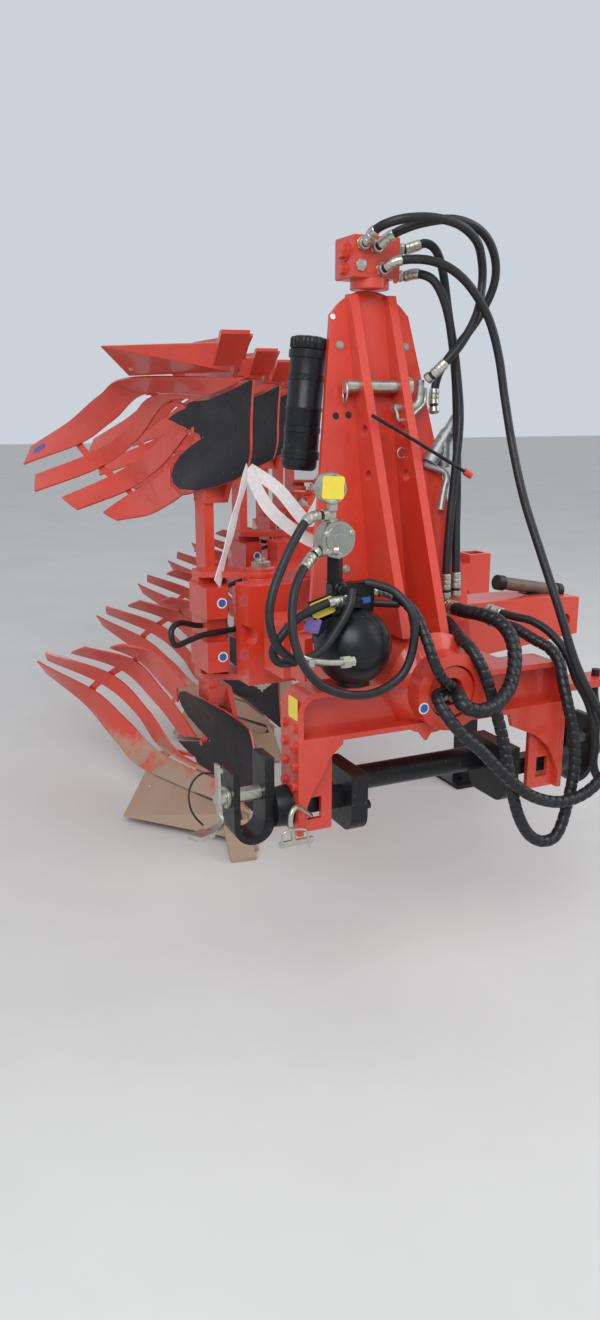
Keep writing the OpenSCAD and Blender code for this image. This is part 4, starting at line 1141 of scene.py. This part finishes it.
def make_arm_tube():
    """Brown tube with black caps that lies on the cross arm, held by a short clamp."""
    form = Form()
    left, right = Vector((588, 590, 1013)), Vector((796, 590, 975))
    form.tube([left, right], 20, 32)
    form.turned(left, left - right, [(-2, 20), (0, 24), (26, 24), (29, 21)], 32, 1)
    form.turned(right, right - left, [(-2, 20), (0, 24), (18, 24), (21, 21)], 32, 1)
    form.bar((692, 560, 972), (692, 620, 972), 20, 3, slot=1)
    form.make("capped_tube", ["brown", "black"], 0.8, body="turnover_frame")


# Beam and bodies


# Washer, nut, its end and the grease nipple: rise, profile, sides and material slot
PIVOT_NUT = (
    (0, [(-1, 42), (8, 42), (9, 40)], 40, 1), (8, [(0, 30), (18, 30), (20, 27)], 6, 0),
    (28, [(0, 15), (8, 15), (10, 12)], 24, 0), (38, [(0, 4), (4, 4), (5, 3), (9, 3.6), (11, 2)], 12, 0))


def make_pivot_nuts():
    """Washers, nuts and grease nipples on the pivots of the bodies."""
    for k in range(1, BODY_COUNT + 1):
        form = Form()
        x, y, _ = pivot(k)
        for s in (-1, 1):
            top = AXIS_Z + s * (KNUCKLE_TOP + 18)
            up = (0, 0, s)
            for rise, profile, sides, slot in PIVOT_NUT:
                form.turned((x, y, top + s * rise), up, profile, sides, slot)
        form.make(f"pivot_nuts_{k}", ["zinc", "red_frame"], 0.8, body=f"body_pair_{k}")


def make_knuckle_trim():
    """Decals and the black hose through the notch of each knuckle."""
    route = [(-60, 10, -8), (-190, -12, -12), (-240, -20, -22), (-293, -30, -31), (-300, -20, 12),
             (-262, 10, 26), (-195, 40, 6), (-130, 60, 0)]
    for k in range(1, BODY_COUNT + 1):
        form = Form()
        for s in (-1, 1):
            form.decal(pivot(k) + Vector((-141, -30, s * 84)), 16, 1, 0)
        form.smooth_tube([pivot(k) + Vector(p) for p in route], 7, 9, 16, 2)
        form.make(f"knuckle_trim_{k}", ["white", "blue", "hose"], body=f"body_pair_{k}")


WEBBING_W = 40
WEBBING_T = 2.5
WEBBING = [
    [(-45, 1150, 1355), (0, 1010, 1296), (21, 850, 1211), (60, 866, 1230), (97, 900, 1265)],
    [(-45, 1150, 1355), (-150, 1010, 1210), (-268, 860, 1030)],
    [(-52, 1140, 1350), (-30, 1000, 1230), (40, 880, 1150), (110, 870, 1130)]]


def make_webbing():
    """Lifting webbing laid over the first body and the beam, with a slight twist along it."""
    form = Form()
    section = ((1, 1), (0, 1), (-1, 1), (-1, -1), (0, -1), (1, -1))
    for points in WEBBING:
        rings = []
        for p, n, b, distance in path_frames(smooth_path(points, 8)):
            t = 0.10 * sin(distance / 34.0)
            across = (n * cos(t) + b * sin(t)) * WEBBING_W / 2
            lift = (b * cos(t) - n * sin(t)) * WEBBING_T / 2
            rings.append([mm(*(p + across * i + lift * j)) for i, j in section])
        form.rings(rings)
    form.make("webbing", ["webbing"], body="body_pair_1")


def make_tip_label():
    """Bare blue label near the tip of the first upper slat."""
    form = Form()
    u, v, upper = 3.66, 0.42, -1
    normal = mirrored(flow_normal(u, v), upper)
    ahead = mirrored(flow(u + 0.1, v) - flow(u, v), upper)
    place = pivot(1) + mirrored(flow(u, v), upper) - normal * (BOARD_T / 2 + 0.1)
    form.sticker(place, -normal, ahead.cross(normal), 66, 26, thick=1.6)
    form.make("tip_label", ["blue"], body="body_pair_1")


# Looks of the nodes

NODE_LOOKS = {
    "red": ["tower", "swing_head", "main_beam", "turnover_barrel", "stand_arm", "hose_holder",
            "headstock_yoke", "cross_arm", "valve_block", "width_barrel"],
    "black": ["accumulator", "cross_shaft", "link_bracket_left", "link_bracket_right", "canister",
              "parking_stand"],
    "zinc": ["top_link_pin", "link_pins", "pressure_gauge"],
    "chrome": ["turnover_rod", "width_rod"],
    "hose": ["hoses_gauge", "hoses_tower"],
    "red_body": [f"{name}_{k}" for name in ("leg", "slats", "straps") for k in range(1, BODY_COUNT + 1)],
    "share": [f"shares_{k}" for k in range(1, BODY_COUNT + 1)],
    "black_shin": [f"shins_{k}" for k in range(1, BODY_COUNT + 1)],
}
# Nodes with a small round on their edges, by how their names begin
SOFT_EDGED = ("tower", "swing_head", "main_beam", "stand_arm", "parking_stand", "turnover_barrel",
              "width_barrel", "leg_", "shares_")


def dress_nodes():
    for look, names in NODE_LOOKS.items():
        for name in names:
            obj = bpy.data.objects[name]
            for slot in obj.material_slots:
                slot.material = MATS[look]
            if name.startswith(SOFT_EDGED):
                weld = obj.modifiers.new("weld", "WELD")
                weld.merge_threshold = 0.00002
                soften(obj, 1.5)


FLOOR_HALF = 40


def make_floor():
    mesh = bpy.data.meshes.new("floor")
    corners = [(FLOOR_HALF * i, FLOOR_HALF * j, 0) for i, j in CORNERS]
    mesh.from_pydata(corners, [], [(0, 1, 2, 3)])
    mesh.materials.append(MATS["floor"])
    obj = bpy.data.objects.new("floor", mesh)
    bpy.context.collection.objects.link(obj)


make_camera()
make_light()
make_floor()
dress_nodes()
make_mouldboards()
make_hoses()
make_ferrules()
make_yoke()
make_yoke_bolts()
make_labels()
make_cross_shaft()
make_link_brackets()
make_link_pins()
make_hose_holder()
make_cross_arm()
make_valve_block()
make_gauge()
make_gauge_pipes()
make_canister()
make_tower_bolts()
make_top_pin_clips()
make_guide_tubes()
make_linch_clips()
make_rear_crank()
make_arm_tube()
make_pivot_nuts()
make_knuckle_trim()
make_webbing()
make_tip_label()
bpy.context.scene.view_settings.view_transform = "Standard"
